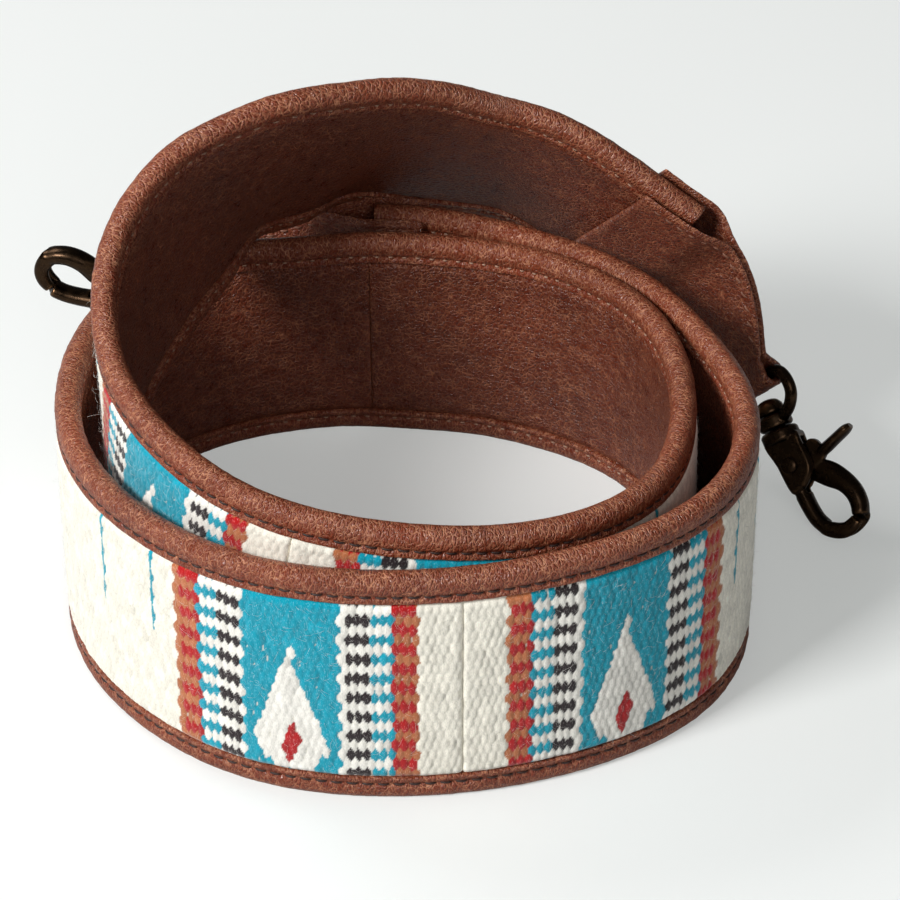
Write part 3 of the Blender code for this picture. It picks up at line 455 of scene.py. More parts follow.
def leather_surface(name, deep, middle, light, cell=0.00105, crease=0.85, gloss=0.40):
    """Pebbled pull-up leather, on the hide's own coordinates, cut from the distances in metres along and across it.
    Creases are where the distance to the nearest cell edge is small, on cells warped by noise; they are paler than
    the pebbles, more so in patches, and the pebbles stand up between them."""
    made, tree, shader = new_surface(name, gloss)
    shader.inputs["Specular IOR Level"].default_value = 0.5
    place = node(tree, "ShaderNodeAttribute", attribute_name="hide").outputs["Vector"]
    warp = node(tree, "ShaderNodeTexNoise", {"Vector": place, "Scale": 0.6 / cell, "Detail": 3.0})
    shift = node(
        tree, "ShaderNodeVectorMath", {0: warp.outputs["Color"], 1: (cell * 1.3,) * 3}, operation="MULTIPLY"
    )
    bent = node(tree, "ShaderNodeVectorMath", {0: place, 1: shift.outputs[0]}, operation="ADD")
    coarse = node(
        tree, "ShaderNodeTexVoronoi", {"Vector": bent.outputs[0], "Scale": 1 / cell},
        feature="DISTANCE_TO_EDGE"
    )
    fine = node(
        tree, "ShaderNodeTexVoronoi", {"Vector": bent.outputs[0], "Scale": 2.1 / cell},
        feature="DISTANCE_TO_EDGE"
    )
    wide = {
        "Value": coarse.outputs["Distance"], "From Min": 0.01, "From Max": 0.09, "To Min": 1.0,
        "To Max": 0.0
    }
    thin = {
        "Value": fine.outputs["Distance"], "From Min": 0.01, "From Max": 0.11, "To Min": 0.5, "To Max": 0.0
    }
    big_line = node(tree, "ShaderNodeMapRange", wide)
    fine_line = node(tree, "ShaderNodeMapRange", thin)
    lines = node(
        tree, "ShaderNodeMath", {0: big_line.outputs[0], 1: fine_line.outputs[0]}, operation="MAXIMUM"
    )
    patch = node(
        tree, "ShaderNodeTexNoise", {"Vector": place, "Scale": 330.0, "Detail": 4.0, "Roughness": 0.65}
    )
    cloud = node(tree, "ShaderNodeTexNoise", {"Vector": place, "Scale": 60.0, "Detail": 3.0})
    rub = node(tree, "ShaderNodeAttribute", attribute_name="rub")
    base = colour_mix(tree, cloud.outputs["Fac"], (*linear(*deep), 1), (*linear(*middle), 1))
    worn = node(
        tree, "ShaderNodeMapRange",
        {"Value": patch.outputs["Fac"], "From Min": 0.36, "From Max": 0.64, "To Min": crease * 0.15, "To Max": crease}
    )
    more = node(
        tree, "ShaderNodeMath", {0: rub.outputs["Fac"], 1: 0.20, 2: worn.outputs[0]},
        operation="MULTIPLY_ADD"
    )
    amount = node(
        tree, "ShaderNodeMath", {0: lines.outputs[0], 1: more.outputs[0]}, operation="MULTIPLY",
        use_clamp=True
    )
    rubbed = node(tree, "ShaderNodeMath", {0: rub.outputs["Fac"], 1: 0.04}, operation="MULTIPLY")
    warm = colour_mix(tree, rubbed.outputs[0], base.outputs[2], (*linear(*light), 1))
    final = colour_mix(tree, amount.outputs[0], warm.outputs[2], (*linear(*light), 1))
    tree.links.new(final.outputs[2], shader.inputs["Base Color"])
    sheen = {
        "Value": patch.outputs["Fac"], "From Min": 0.3, "From Max": 0.7, "To Min": gloss - 0.08,
        "To Max": gloss + 0.12
    }
    tree.links.new(node(tree, "ShaderNodeMapRange", sheen).outputs[0], shader.inputs["Roughness"])
    pebble = node(tree, "ShaderNodeMath", {0: coarse.outputs["Distance"], 1: 0.25}, operation="MINIMUM")
    grit = node(
        tree, "ShaderNodeMath", {0: fine.outputs["Distance"], 1: 0.4, 2: pebble.outputs[0]},
        operation="MULTIPLY_ADD"
    )
    bump = node(tree, "ShaderNodeBump", {"Height": grit.outputs[0], "Strength": 0.9, "Distance": 0.0007})
    tree.links.new(bump.outputs[0], shader.inputs["Normal"])
    return made


def hide_place(obj, along, across, seed):
    """Keeps where each point lies on its flat hide: distance along, distance across, and which hide it is."""
    along, across = np.broadcast_arrays(along, across)
    point_value(
        obj, "hide", np.stack([along.ravel(), across.ravel(), np.full(along.size, 0.1 * seed)], axis=1)
    )


def binding_profile():
    """Half of the folded strip, from its cut edge to the rolled edge: rows of depth from the strap's edge and of
    distance out. The roll is a half circle, out = sqrt(R^2 - (R - d)^2), and the leg ends in a small round."""
    radius = STRAP_THICKNESS / 2
    turn = np.linspace(0, np.pi / 2, 15)[:-1]
    roll = np.stack([radius - radius * np.cos(turn), radius * np.sin(turn)], axis=1)
    leg = np.linspace(radius, BINDING_DEPTH - 0.0003, 20)
    leg = np.stack([leg, np.full(20, radius)], axis=1)
    down = np.linspace(0, np.pi / 2, 5)[1:]
    cut = np.stack(
        [BINDING_DEPTH - 0.0003 + 0.0003 * np.sin(down), radius - 0.0005 + 0.0005 * np.cos(down)], axis=1
    )
    foot = [[BINDING_DEPTH, radius - 0.0011]]
    return np.concatenate([roll, leg, cut, foot])


def build_binding(name, side, node_name, surface):
    """The profile carried along the strap, both sides of it, with a sewn groove, a pucker at each stitch, and slow
    swells in the leather."""
    arc = np.arange(TIP_TO_STRAP, LENGTH - TIP_TO_STRAP, BINDING_STEP)[:, None]
    half = binding_profile()
    depth = np.concatenate([half[::-1, 0], half[1:, 0]])[None, :]
    out = np.concatenate([half[::-1, 1], -half[1:, 1]])[None, :]
    face = np.sign(out)
    sewn = (arc - STITCH_START) / STITCH_PITCH
    pucker = 1 + 0.35 * np.cos(2 * np.pi * sewn)
    groove = GROOVE_DEPTH * np.exp(-(((depth - STITCH_FROM_EDGE) / GROOVE_HALF_WIDTH) ** 2)) * pucker
    swell = 0.00010 * wander(arc, 30 + side, 0.024) * np.sin(np.pi * np.clip(depth / STITCH_FROM_EDGE, 0, 1))
    roll = 0.00008 * wander(arc + depth * 2, 40 + side, 0.007) * (depth < STITCH_FROM_EDGE)
    level = out + face * (swell + roll - groove)
    wave = 0.00012 * wander(arc, 50 + side, 0.018)
    points = on_strap(arc, side * (STRAP_WIDTH / 2 - depth + wave * (depth > BINDING_DEPTH - 0.001)), level)
    binding = swept_piece(name, points, surface)
    rub = np.clip(1 - depth / 0.0030, 0, 1) * (0.75 + 0.5 * wander(arc, 60 + side, 0.03)) + 0.35 * (depth > BINDING_DEPTH - 0.0005)
    point_value(binding, "rub", np.clip(rub, 0, 1).ravel())
    wrap = np.concatenate([[0], np.cumsum(np.hypot(np.diff(depth[0]), np.diff(out[0])))])[None, :]
    hide_place(binding, arc * ROLL_CREASE, wrap / ROLL_CREASE, 3 + side)
    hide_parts(node_name)
    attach(binding, "strap")


binding_leather = leather_surface(
    "binding_leather_oiled", (84, 26, 12), (140, 58, 31), (224, 158, 118), crease=0.6, gloss=0.34
)
build_binding("binding_upper", 1, "edge_binding_top", binding_leather)
build_binding("binding_lower", -1, "edge_binding_bottom", binding_leather)

# Binding stitches
# Waxed thread in a lockstitch along both bindings: dark brown on the wool side, where it sinks in its groove,
# and pale on the lining side.

THREAD_RADIUS = 0.00024


def thread_surface(name, dark, light):
    """Twisted waxed thread: two tones mixed by a fine noise, which also bumps its surface."""
    made, tree, shader = new_surface(name, 0.55)
    place = node(tree, "ShaderNodeTexCoord").outputs["Object"]
    ply = node(tree, "ShaderNodeTexNoise", {"Vector": place, "Scale": 1400.0, "Detail": 3.0})
    tone = colour_mix(tree, ply.outputs["Fac"], (*linear(*dark), 1), (*linear(*light), 1))
    tree.links.new(tone.outputs[2], shader.inputs["Base Color"])
    bump = node(tree, "ShaderNodeBump", {"Height": ply.outputs["Fac"], "Strength": 0.5, "Distance": 0.00008})
    tree.links.new(bump.outputs[0], shader.inputs["Normal"])
    return made


def stitch_row(arc, across, out, length, radius=THREAD_RADIUS):
    """Points of one stitch at each arc length: six sides round a line that rises from its hole, runs along and dives
    again, lift = sin(pi t), and thins at both ends."""
    count = len(arc)
    share = np.array([0.0, 0.12, 0.35, 0.65, 0.88, 1.0])
    lift = np.sin(np.pi * share) ** 0.6
    thick = np.array([0.45, 0.85, 1.0, 1.0, 0.85, 0.45])
    place, _, width, outward = strap_frame((arc[:, None] + (share[None] - 0.5) * length).ravel())
    face = np.sign(out)
    level = np.repeat(out, 6) + np.repeat(face, 6) * radius * 1.3 * (np.tile(lift, count) - 1)
    middle = place + width * np.repeat(across, 6)[:, None] + outward * level[:, None]
    turn = np.arange(6) * np.pi / 3
    size = radius * np.tile(thick, count)[:, None, None]
    ring = width[:, None] * np.cos(turn)[None, :, None] + outward[:, None] * np.sin(turn)[None, :, None]
    return (middle[:, None] + ring * size).reshape(count, 36, 3)


def stitches_piece(name, points, surface, body="strap"):
    """All the stitches of one row in one piece, each a closed thread of six rings with two end caps."""
    count = len(points)
    one = ring_quads(6, 6).tolist()
    caps = [[5, 4, 3, 2, 1, 0], [30, 31, 32, 33, 34, 35]]
    faces = [[corner + 36 * number for corner in face] for number in range(count) for face in one + caps]
    made = mesh_piece(name, points, faces, surface)
    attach(made, body)


brown_thread = thread_surface("brown_thread", (20, 10, 8), (62, 34, 26))
pale_thread = thread_surface("pale_thread", (96, 58, 44), (214, 176, 150))
places = np.arange(STITCH_START + STITCH_PITCH / 2, LENGTH - STITCH_START, STITCH_PITCH)
both = np.concatenate([places, places])
rows = np.repeat([1.0, -1.0], len(places)) * (STRAP_WIDTH / 2 - STITCH_FROM_EDGE)
sewn_out = STRAP_THICKNESS / 2 - GROOVE_DEPTH + THREAD_RADIUS * 0.55
stitches_piece(
    "face_stitches", stitch_row(both, rows, np.full(len(both), sewn_out), 0.0021), brown_thread,
)
stitches_piece(
    "lining_stitches", stitch_row(both, rows, np.full(len(both), -sewn_out), 0.0010, 0.00019), pale_thread,
)

# Lining
# Two pieces of the same hide in a darker, smoother cut, joined by one seam. They lie flat against the wool's
# back and are held at both edges under the bindings.

LINING_SEAM_SHARE = 0.5109
LINING_OUT = 0.00205
LINING_COLUMNS = 48


def build_lining(number, low, high, surface):
    """A ring at each arc step: the inner face with slow creases, level = -(out + crease), tucked at both edges."""
    arc = np.linspace(low, high, int(round((high - low) / 0.001)) + 1)[:, None]
    arc = np.concatenate([low + np.array([[0.0], [0.0002], [0.0005]]), arc[1:-1], high - np.array([[0.0005], [0.0002], [0.0]])])
    across = np.linspace(-WOOL_HALF_WIDTH, WOOL_HALF_WIDTH, LINING_COLUMNS)[None, :]
    tuck = np.clip((np.abs(across) - WOOL_VISIBLE + 0.0016) / 0.0022, 0, 1)
    crease = 0.00016 * wander(arc + 0.3 * across, 70, 0.013) * wander(across + 0.2 * arc, 71, 0.03)
    ripple = 0.00010 * wander(arc, 72, 0.009) * np.abs(across) / WOOL_HALF_WIDTH
    edge = np.minimum(arc - low, high - arc)
    seam = 0.0003 * np.exp(-edge / 0.0005)
    out = -(LINING_OUT + crease + ripple - 0.0010 * tuck**2 - seam)
    flat = np.full((len(arc), 1), -0.0003)
    side = np.full((len(arc), 1), WOOL_HALF_WIDTH)
    points = on_strap(
        arc, np.concatenate([-side, across + arc * 0, side], axis=1),
        np.concatenate([flat, out, flat], axis=1)
    )
    lining = swept_piece(f"lining_piece_{number}", points, surface)
    rub = 0.5 * np.exp(-edge / 0.0006) + 0.25 * np.clip(
        wander(arc, 73, 0.05) * wander(across, 74, 0.03), 0, 1
    )
    rub = np.concatenate([rub[:, :1], rub, rub[:, -1:]], axis=1)
    point_value(lining, "rub", rub.ravel())
    hide_place(lining, arc, np.concatenate([-side[:1], across, side[:1]], axis=1), 6 + number)
    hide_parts(f"lining_{number}")
    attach(lining, "strap")


lining_leather = leather_surface(
    "lining_leather_oiled", (66, 19, 8), (118, 46, 24), (216, 146, 106), cell=0.0010, crease=0.55,
    gloss=0.32
)
lining_seam = LENGTH * LINING_SEAM_SHARE
build_lining(1, TIP_TO_STRAP, lining_seam - SEAM_CLOSE, lining_leather)
build_lining(2, lining_seam + SEAM_CLOSE, LENGTH - TIP_TO_STRAP, lining_leather)

# End tabs
# A leather tongue is folded round the eye's bar at each end of the strap, tapers to the fold, and is sewn
# through the strap along its curved sides.

TAB_LEATHER = 0.0012
TAB_OVERLAP = 0.0105
TAB_TIP_WIDTH = 0.0112
TAB_SIDE_INSET = 0.0006
TAB_NECK = 0.0035
TAB_CLOSE = 0.009
WOOL_BULGE = 0.0002
EYE_WIRE = 0.0024
TAB_SWELL_SHARES = ((2.1, 0.07), (1.5, 0.25), (0.93, 0.56))
LEFT_TAB_BOW = 0.34
TAB_STITCH_INSET = 0.0022


def smooth_rows(rows, parts, closed=False):
    """More rows between the given ones, on a Catmull-Rom curve through each."""
    rows = np.asarray(rows, dtype=float)
    padded = np.concatenate([rows[-1:], rows, rows[:2]]) if closed else np.concatenate([rows[:1], rows, rows[-1:]])
    t = (np.arange(parts) / parts)[None, :, None]
    a, b, c, d = (padded[k : len(padded) - 3 + k][:, None] for k in range(4))
    curve = 2 * b + (c - a) * t + (2 * a - 5 * b + 4 * c - d) * t**2 + (3 * b - 3 * c + d - a) * t**3
    found = (curve / 2).reshape(-1, rows.shape[1])
    return found if closed else np.concatenate([found, rows[-1:]])


def tab_half_width(arc, at_end):
    """Half width = tip + (full - tip) * sin(90 degrees * share) ** bow, narrow at the fold and full where the strap
    starts. The left tongue shows fuller than the right one in the photo, so it bows out more."""
    tip = TAB_TIP_WIDTH / 2
    full = STRAP_WIDTH / 2 - TAB_SIDE_INSET
    share = np.clip((arc - TAB_NECK) / (TIP_TO_STRAP - TAB_NECK), 0, 1)
    return tip + (full - tip) * np.sin(np.pi / 2 * share) ** (LEFT_TAB_BOW if at_end else 1)


def tab_path():
    """The folded tongue's middle line, as arc from the tip and distance out, from one cut edge to the other."""
    wide = STRAP_THICKNESS / 2 + WOOL_BULGE + GAP + TAB_LEATHER / 2
    near = GAP / 2 + TAB_LEATHER / 2
    bend = EYE_WIRE / 2 + GAP + TAB_LEATHER / 2
    held = TIP_TO_STRAP - TAB_LEATHER
    shut = held - TAB_CLOSE
    rows = [(arc, wide) for arc in np.linspace(TIP_TO_STRAP + TAB_OVERLAP, held, 5)]
    for share in (0.25, 0.5, 0.75, 1.0):
        rows.append((held + (shut - held) * share, wide + (near - wide) * (1 - math.cos(math.pi * share)) / 2))
    rows += [(arc, near) for arc in np.linspace(shut, bend * 2.8, 7)[1:]]
    rows += [(bend * back, near + (bend - near) * out) for back, out in TAB_SWELL_SHARES]
    rows += [(bend * math.cos(turn), bend * math.sin(turn)) for turn in np.radians(np.linspace(62, 180, 7))]
    rows = np.array(rows)
    return np.concatenate([rows * (1, -1), rows[-2::-1]])


def build_tab(name, node_name, at_end, surface, thread):
    """The tongue's section, a flat bar with round sides, carried along its folded path, thinner towards its sides and
    puckered at the sewing."""
    rows = smooth_rows(tab_path(), 5)
    width = tab_half_width(rows[:, 0], at_end)[:, None]
    place, _, across, outward = strap_frame(LENGTH - rows[:, 0] if at_end else rows[:, 0])
    middle = place + outward * rows[:, 1:]
    normal = unit(np.cross(across, unit(np.gradient(middle, axis=0))))
    columns = np.linspace(-1, 1, 34)
    shares = np.concatenate([columns, columns[::-1]])[None, :]
    upper = np.repeat([1.0, -1.0], 34)[None, :]
    from_side = (1 - np.abs(shares)) * width
    half = TAB_LEATHER / 2 * np.sqrt(np.clip(1 - (1 - np.clip(from_side / 0.0005, 0, 1)) ** 2, 0.02, 1))
    gone = np.linalg.norm(np.diff(middle, axis=0), axis=1)
    run = np.concatenate([[0], np.cumsum(gone)])[:, None]
    sewn = 0.00016 * np.exp(-(((from_side - TAB_STITCH_INSET) / 0.0006) ** 2)) * (1 + 0.3 * np.cos(2 * np.pi * run / STITCH_PITCH))
    ends = np.clip(np.minimum(run, run[-1] - run) / 0.0006, 0.05, 1)
    level = upper * (half * np.sqrt(ends) - sewn * (rows[:, :1] > TAB_NECK * 2)) + 0.00010 * wander(
        run + shares * 0.01, 80, 0.012
    )
    points = middle[:, None] + across[:, None] * (shares * width)[..., None] + normal[:, None] * level[
        ..., None
    ]
    points[..., 2] = np.maximum(points[..., 2], 0)
    tab = swept_piece(name, points, surface)
    rub = np.exp(-from_side / 0.0007) * 0.9 + 0.5 * np.exp(-np.minimum(run, run[-1] - run) / 0.0007) + 0 * shares
    point_value(tab, "rub", np.clip(rub, 0, 1).ravel())
    hide_place(tab, run + 0 * shares, shares * width, 10 + at_end)
    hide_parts(node_name)
    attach(tab, "strap")
    sew_tab(name, at_end, thread)


def sew_tab(name, at_end, thread):
    """Stitches on both outer faces of the tongue: a row inside each curved side."""
    wide = STRAP_THICKNESS / 2 + WOOL_BULGE + GAP + TAB_LEATHER
    path = tab_path()
    half = path[len(path) // 2 :]
    order = np.argsort(half[:, 0])
    arcs = np.arange(TAB_NECK * 2.2, TIP_TO_STRAP + TAB_OVERLAP - 0.002, STITCH_PITCH)
    across = tab_half_width(arcs, at_end) - TAB_STITCH_INSET
    level = np.minimum(np.interp(arcs, half[order, 0], half[order, 1]) + TAB_LEATHER / 2, wide) + THREAD_RADIUS * 0.1
    pieces = []
    for side in (1, -1):
        for face in (1, -1):
            at = LENGTH - arcs if at_end else arcs
            pieces.append(stitch_row(at, side * across, face * level, 0.0017))
    stitches_piece(f"{name}_stitches", np.concatenate(pieces), thread)


tab_leather = leather_surface(
    "tab_leather_oiled", (72, 22, 10), (124, 50, 27), (218, 148, 108), cell=0.0010, crease=0.55, gloss=0.32
)
tab_thread = thread_surface("tab_thread", (92, 52, 40), (150, 104, 82))
build_tab("tab_right_end", "end_tab_right", False, tab_leather, tab_thread)
build_tab("tab_left_end", "end_tab_left", True, tab_leather, tab_thread)

# Swivel hooks
# Die-cast trigger snaps, plated and then darkened, with the plating rubbed bright on their edges. An eye holds
# the stud on which the hook's body turns; the lever closes the loop from a pin through the body's two cheeks.

EYE_HALF_WIDTH = 0.0083
EYE_DEPTH = 0.0087
BOSS_RADIUS = 0.0034
BOSS_HEIGHT = 0.0027
BORE_RADIUS = 0.00177
STUD_RADIUS = 0.0017
STUD_HEAD_RADIUS = 0.0029
STUD_HEAD_HEIGHT = 0.0029
STUD_DEPTH = 0.0022
COLLAR_RADIUS = 0.0038
COLLAR_HEIGHT = 0.0026
BODY_HALF_THICKNESS = 0.0027
HOOK_LENGTH = 0.0340
SLOT_HALF_WIDTH = 0.0013
PIN_RADIUS = 0.0010
PIN_HEAD_RADIUS = 0.0016
PIN_HEAD_HEIGHT = 0.0005
LEVER_HALF_THICKNESS = 0.0010
THUMB_LENGTH = 0.0085
SPRING_RADIUS = 0.0007
SPRING_WIRE = 0.0004
SPRING_TURNS = 3
SPRING_PLACE_SHARE = -0.085
SLOT_FLOOR_SHARE = -0.060
SLOT_END_SHARE = 0.70
SPRING_TOP_SHARE = 0.038
COLLAR_START_SHARE = 0.3044
PIN_SHARE = 0.5206
CAST_GRAIN = 0.00017

EYE_SHARES = (
    (0, 0), (0, 0.35), (0, 0.70), (0.10, 0.90), (0.33, 1.0), (0.60, 0.96), (0.83, 0.73), (0.97, 0.38),
    (1, 0), (0.97, -0.38), (0.83, -0.73), (0.60, -0.96), (0.33, -1.0), (0.10, -0.90), (0, -0.70), (0, -0.35),
)
STUD_HEAD_SHARES = (
    (0, 0.05), (0.01, 0.25), (0.05, 0.45), (0.12, 0.62), (0.22, 0.75), (0.48, 0.93), (0.80, 1.0),
    (0.95, 1.0), (1.0, 0.95)
)
BLOCK_SHARES = (
    (0.345, -0.090), (0.345, 0.098), (0.42, 0.116), (0.53, 0.126), (0.60, 0.110), (0.655, 0.055),
    (0.675, 0.020), (0.675, -0.055), (0.50, -0.075),
)
FIXED_ARM_SHARES = (
    (0.48, -0.020, 0.052, 0.062, 0), (0.58, -0.016, 0.052, 0.064, 0), (0.68, -0.010, 0.050, 0.064, 0),
    (0.78, -0.004, 0.048, 0.063, 0), (0.86, 0.010, 0.047, 0.062, 0), (0.915, 0.036, 0.046, 0.061, 0),
    (0.926, 0.045, 0.045, 0.028, 0.033), (0.962, 0.090, 0.045, 0.028, 0.033), (0.980, 0.140, 0.044, 0.028, 0.033),
    (0.970, 0.190, 0.042, 0.028, 0.032), (0.950, 0.228, 0.036, 0.024, 0.030),
)
GATE_ARM_SHARES = (
    (0.03, 0.030, 0.042, 0.027, 0), (0.08, 0.115, 0.066, 0.027, 0), (0.135, 0.180, 0.074, 0.045, 0),
    (0.205, 0.238, 0.062, 0.060, 0), (0.280, 0.268, 0.056, 0.062, 0), (0.350, 0.270, 0.053, 0.062, 0),
    (0.405, 0.254, 0.050, 0.061, 0), (0.418, 0.245, 0.049, 0.028, -0.033), (0.447, 0.198, 0.045, 0.028, -0.033),
    (0.456, 0.145, 0.044, 0.028, -0.033), (0.440, 0.092, 0.042, 0.028, -0.032), (0.410, 0.052, 0.036, 0.024, -0.030),
)
LEVER_PLATE_SHARES = (
    (-0.110, 0.042), (-0.056, 0.038), (-0.050, -0.010), (-0.036, -0.036), (0.0, -0.051), (0.036, -0.036),
    (0.052, 0.0), (0.078, 0.060), (0.060, 0.130), (0.030, 0.200), (-0.055, 0.195), (-0.086, 0.174),
    (-0.096, 0.147), (-0.086, 0.120), (-0.080, 0.098), (-0.096, 0.074),
)
THUMB_SHARES = (
    (0.02, 0.60, 0.14, 0.11, 0), (-0.04, 0.85, 0.14, 0.19, 0), (-0.14, 1.15, 0.13, 0.24, 0),
    (-0.24, 1.45, 0.12, 0.24, 0), (-0.28, 1.60, 0.07, 0.16, 0),
)


def bronze_surface(name, dark, worn):
    """Darkened bronze plating: nearly black in the hollows, brown on the faces, and rubbed to the metal on edges."""
    made, tree, shader = new_surface(name, 0.34, metallic=1.0)
    place = node(tree, "ShaderNodeTexCoord").outputs["Object"]
    cloud = node(
        tree, "ShaderNodeTexNoise", {"Vector": place, "Scale": 420.0, "Detail": 5.0, "Roughness": 0.65}
    )
    grain = node(tree, "ShaderNodeTexNoise", {"Vector": place, "Scale": 3800.0, "Detail": 2.0})
    wear = node(tree, "ShaderNodeAttribute", attribute_name="wear")
    patchy = node(
        tree, "ShaderNodeMapRange",
        {"Value": cloud.outputs["Fac"], "From Min": 0.35, "From Max": 0.7, "To Min": 0.25, "To Max": 1.0}
    )
    bare = node(
        tree, "ShaderNodeMath", {0: wear.outputs["Fac"], 1: patchy.outputs[0]}, operation="MULTIPLY",
        use_clamp=True
    )
    tarnish = node(
        tree, "ShaderNodeMath", {0: cloud.outputs["Fac"], 1: 0.16, 2: bare.outputs[0]},
        operation="MULTIPLY_ADD", use_clamp=True
    )
    tone = colour_mix(tree, tarnish.outputs[0], (*linear(*dark), 1), (*linear(*worn), 1))
    tree.links.new(tone.outputs[2], shader.inputs["Base Color"])
    rough = node(
        tree, "ShaderNodeMapRange",
        {"Value": cloud.outputs["Fac"], "From Min": 0.3, "From Max": 0.7, "To Min": 0.20, "To Max": 0.36}
    )
    tree.links.new(rough.outputs[0], shader.inputs["Roughness"])
    bump = node(
        tree, "ShaderNodeBump", {"Height": grain.outputs["Fac"], "Strength": 0.25, "Distance": 0.00005}
    )
    tree.links.new(bump.outputs[0], shader.inputs["Normal"])
    return made


def plane_bar(name, rows, surface, sides=20, closed=False):
    """An oval bar along rows of (along, across, half width, half thickness, offset from the plane)."""
    rows = np.asarray(rows, dtype=float)
    line = rows[:, :2]
    ahead = np.roll(line, -1, axis=0) - np.roll(line, 1, axis=0) if closed else np.gradient(line, axis=0)
    ahead = unit(ahead)
    beside = np.stack([-ahead[:, 1], ahead[:, 0]], axis=1)
    turn = np.arange(sides) * 2 * np.pi / sides
    flat = line[:, None] + beside[:, None] * (rows[:, 2, None] * np.cos(turn))[..., None]
    thick = rows[:, 4, None] + rows[:, 3, None] * np.sin(turn)
    return swept_piece(name, np.concatenate([flat, thick[..., None]], axis=2), surface, closed)


def lathe(name, profile, surface, sides=48):
    """A turned body: a circle of each row's radius at its distance along the axis."""
    profile = np.array(profile)
    turn = np.arange(sides) * 2 * np.pi / sides
    points = np.stack(
        [profile[:, :1] + 0 * turn, profile[:, 1:] * np.cos(turn), profile[:, 1:] * np.sin(turn)], axis=2
    )
    return swept_piece(name, points, surface)


def plate(name, outline, half, soft, surface):
    """A flat outline given thickness, its two faces a little smaller than its waist."""
    outline = np.asarray(outline, dtype=float)
    middle = outline.mean(axis=0)
    reach = np.linalg.norm(outline - middle, axis=1, keepdims=True)
    rings = []
    for height, inset in ((-half, soft), (soft - half, 0), (half - soft, 0), (half, soft)):
        ring = middle + (outline - middle) * (1 - inset / reach)
        rings.append(np.column_stack([ring, np.full(len(ring), height)]))
    return swept_piece(name, np.array(rings), surface)


def block(name, low, high, surface):
    """A plain box between two corners."""
    corners = np.array(
        [[(x, y, z) for x, y in ((0, 0), (1, 0), (1, 1), (0, 1))] for z in (0, 1)], dtype=float
    )
    return swept_piece(name, np.array(low) + corners * (np.array(high) - np.array(low)), surface)


def shape_of(obj):
    """The object's mesh with its modifiers carried out."""
    bpy.context.view_layer.update()
    return bpy.data.meshes.new_from_object(obj.evaluated_get(bpy.context.evaluated_depsgraph_get()))


def combine(target, others, operation):
    """Joins the other shapes to the target, or cuts them from it, and clears them away."""
    for other in others:
        modifier = target.modifiers.new(operation.lower(), "BOOLEAN")
        modifier.operation = operation
        modifier.solver = "EXACT"
        modifier.object = other
    shape = shape_of(target)
    target.modifiers.clear()
    target.data = shape
    for other in others:
        bpy.data.objects.remove(other, do_unlink=True)


def cast(obj, grain=CAST_GRAIN):
    """Softens the joined shapes as a casting: a fine voxel skin, smoothed a few times, with its worn edges marked.
    mark_wear says how the wear is found."""
    skin = obj.modifiers.new("skin", "REMESH")
    skin.mode = "VOXEL"
    skin.voxel_size = grain
    skin.use_smooth_shade = True
    soften = obj.modifiers.new("soften", "SMOOTH")
    soften.factor = 0.5
    soften.iterations = 4
    surface = obj.data.materials[0]
    obj.data = shape_of(obj)
    obj.modifiers.clear()
    obj.data.materials.clear()
    obj.data.materials.append(surface)
    mark_wear(obj)


def mark_wear(obj):
    """Keeps how worn each point is: its height over the mean of its neighbours, in edge lengths, smoothed."""
    mesh = obj.data
    count = len(mesh.vertices)
    points = np.empty(count * 3)
    mesh.vertices.foreach_get("co", points)
    points = points.reshape(-1, 3)
    normals = np.empty(count * 3)
    mesh.vertices.foreach_get("normal", normals)
    edges = np.empty(len(mesh.edges) * 2, np.int64)
    mesh.edges.foreach_get("vertices", edges)
    edges = edges.reshape(-1, 2)
    ends = np.concatenate([edges, edges[:, ::-1]])
    share = 1 / np.bincount(ends[:, 0], minlength=count)

    def neighbours(values):
        return share * np.bincount(ends[:, 0], weights=values[ends[:, 1]], minlength=count)

    mean = np.stack([neighbours(points[:, k]) for k in range(3)], axis=1)
    length = np.linalg.norm(points[edges[:, 0]] - points[edges[:, 1]], axis=1).mean()
    proud = ((points - mean) * normals.reshape(-1, 3)).sum(axis=1) / length
    for _ in range(6):
        proud = neighbours(proud)
    point_value(obj, "wear", np.clip((proud - 0.035) / 0.09, 0, 1))


def finish_metal(obj, origin, first, second, node_name, body, shift=0.0):
    """Stands the shape on its own axes, the first along the stud and the second across, and puts its place in its mesh."""
    matrix = np.eye(4)
    matrix[:3, 0] = first
    matrix[:3, 1] = second
    matrix[:3, 2] = np.cross(first, second)
    matrix[:3, 3] = origin + first * shift
    obj.data.transform(Matrix(matrix.tolist()))
    obj.data.update()
    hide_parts(node_name)
    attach(obj, body)


def collar_start():
    return EYE_DEPTH + BOSS_HEIGHT / 2 + GAP


def hook_along(share):
    """The place from the eye's bar of a share of the hook's length."""
    return collar_start() + HOOK_LENGTH * (share - COLLAR_START_SHARE)


def hook_rows(shares):
    """A table of shares in real sizes, with its first column counted from the eye's bar."""
    rows = HOOK_LENGTH * np.array(shares)
    rows[:, 0] += hook_along(0)
    return rows


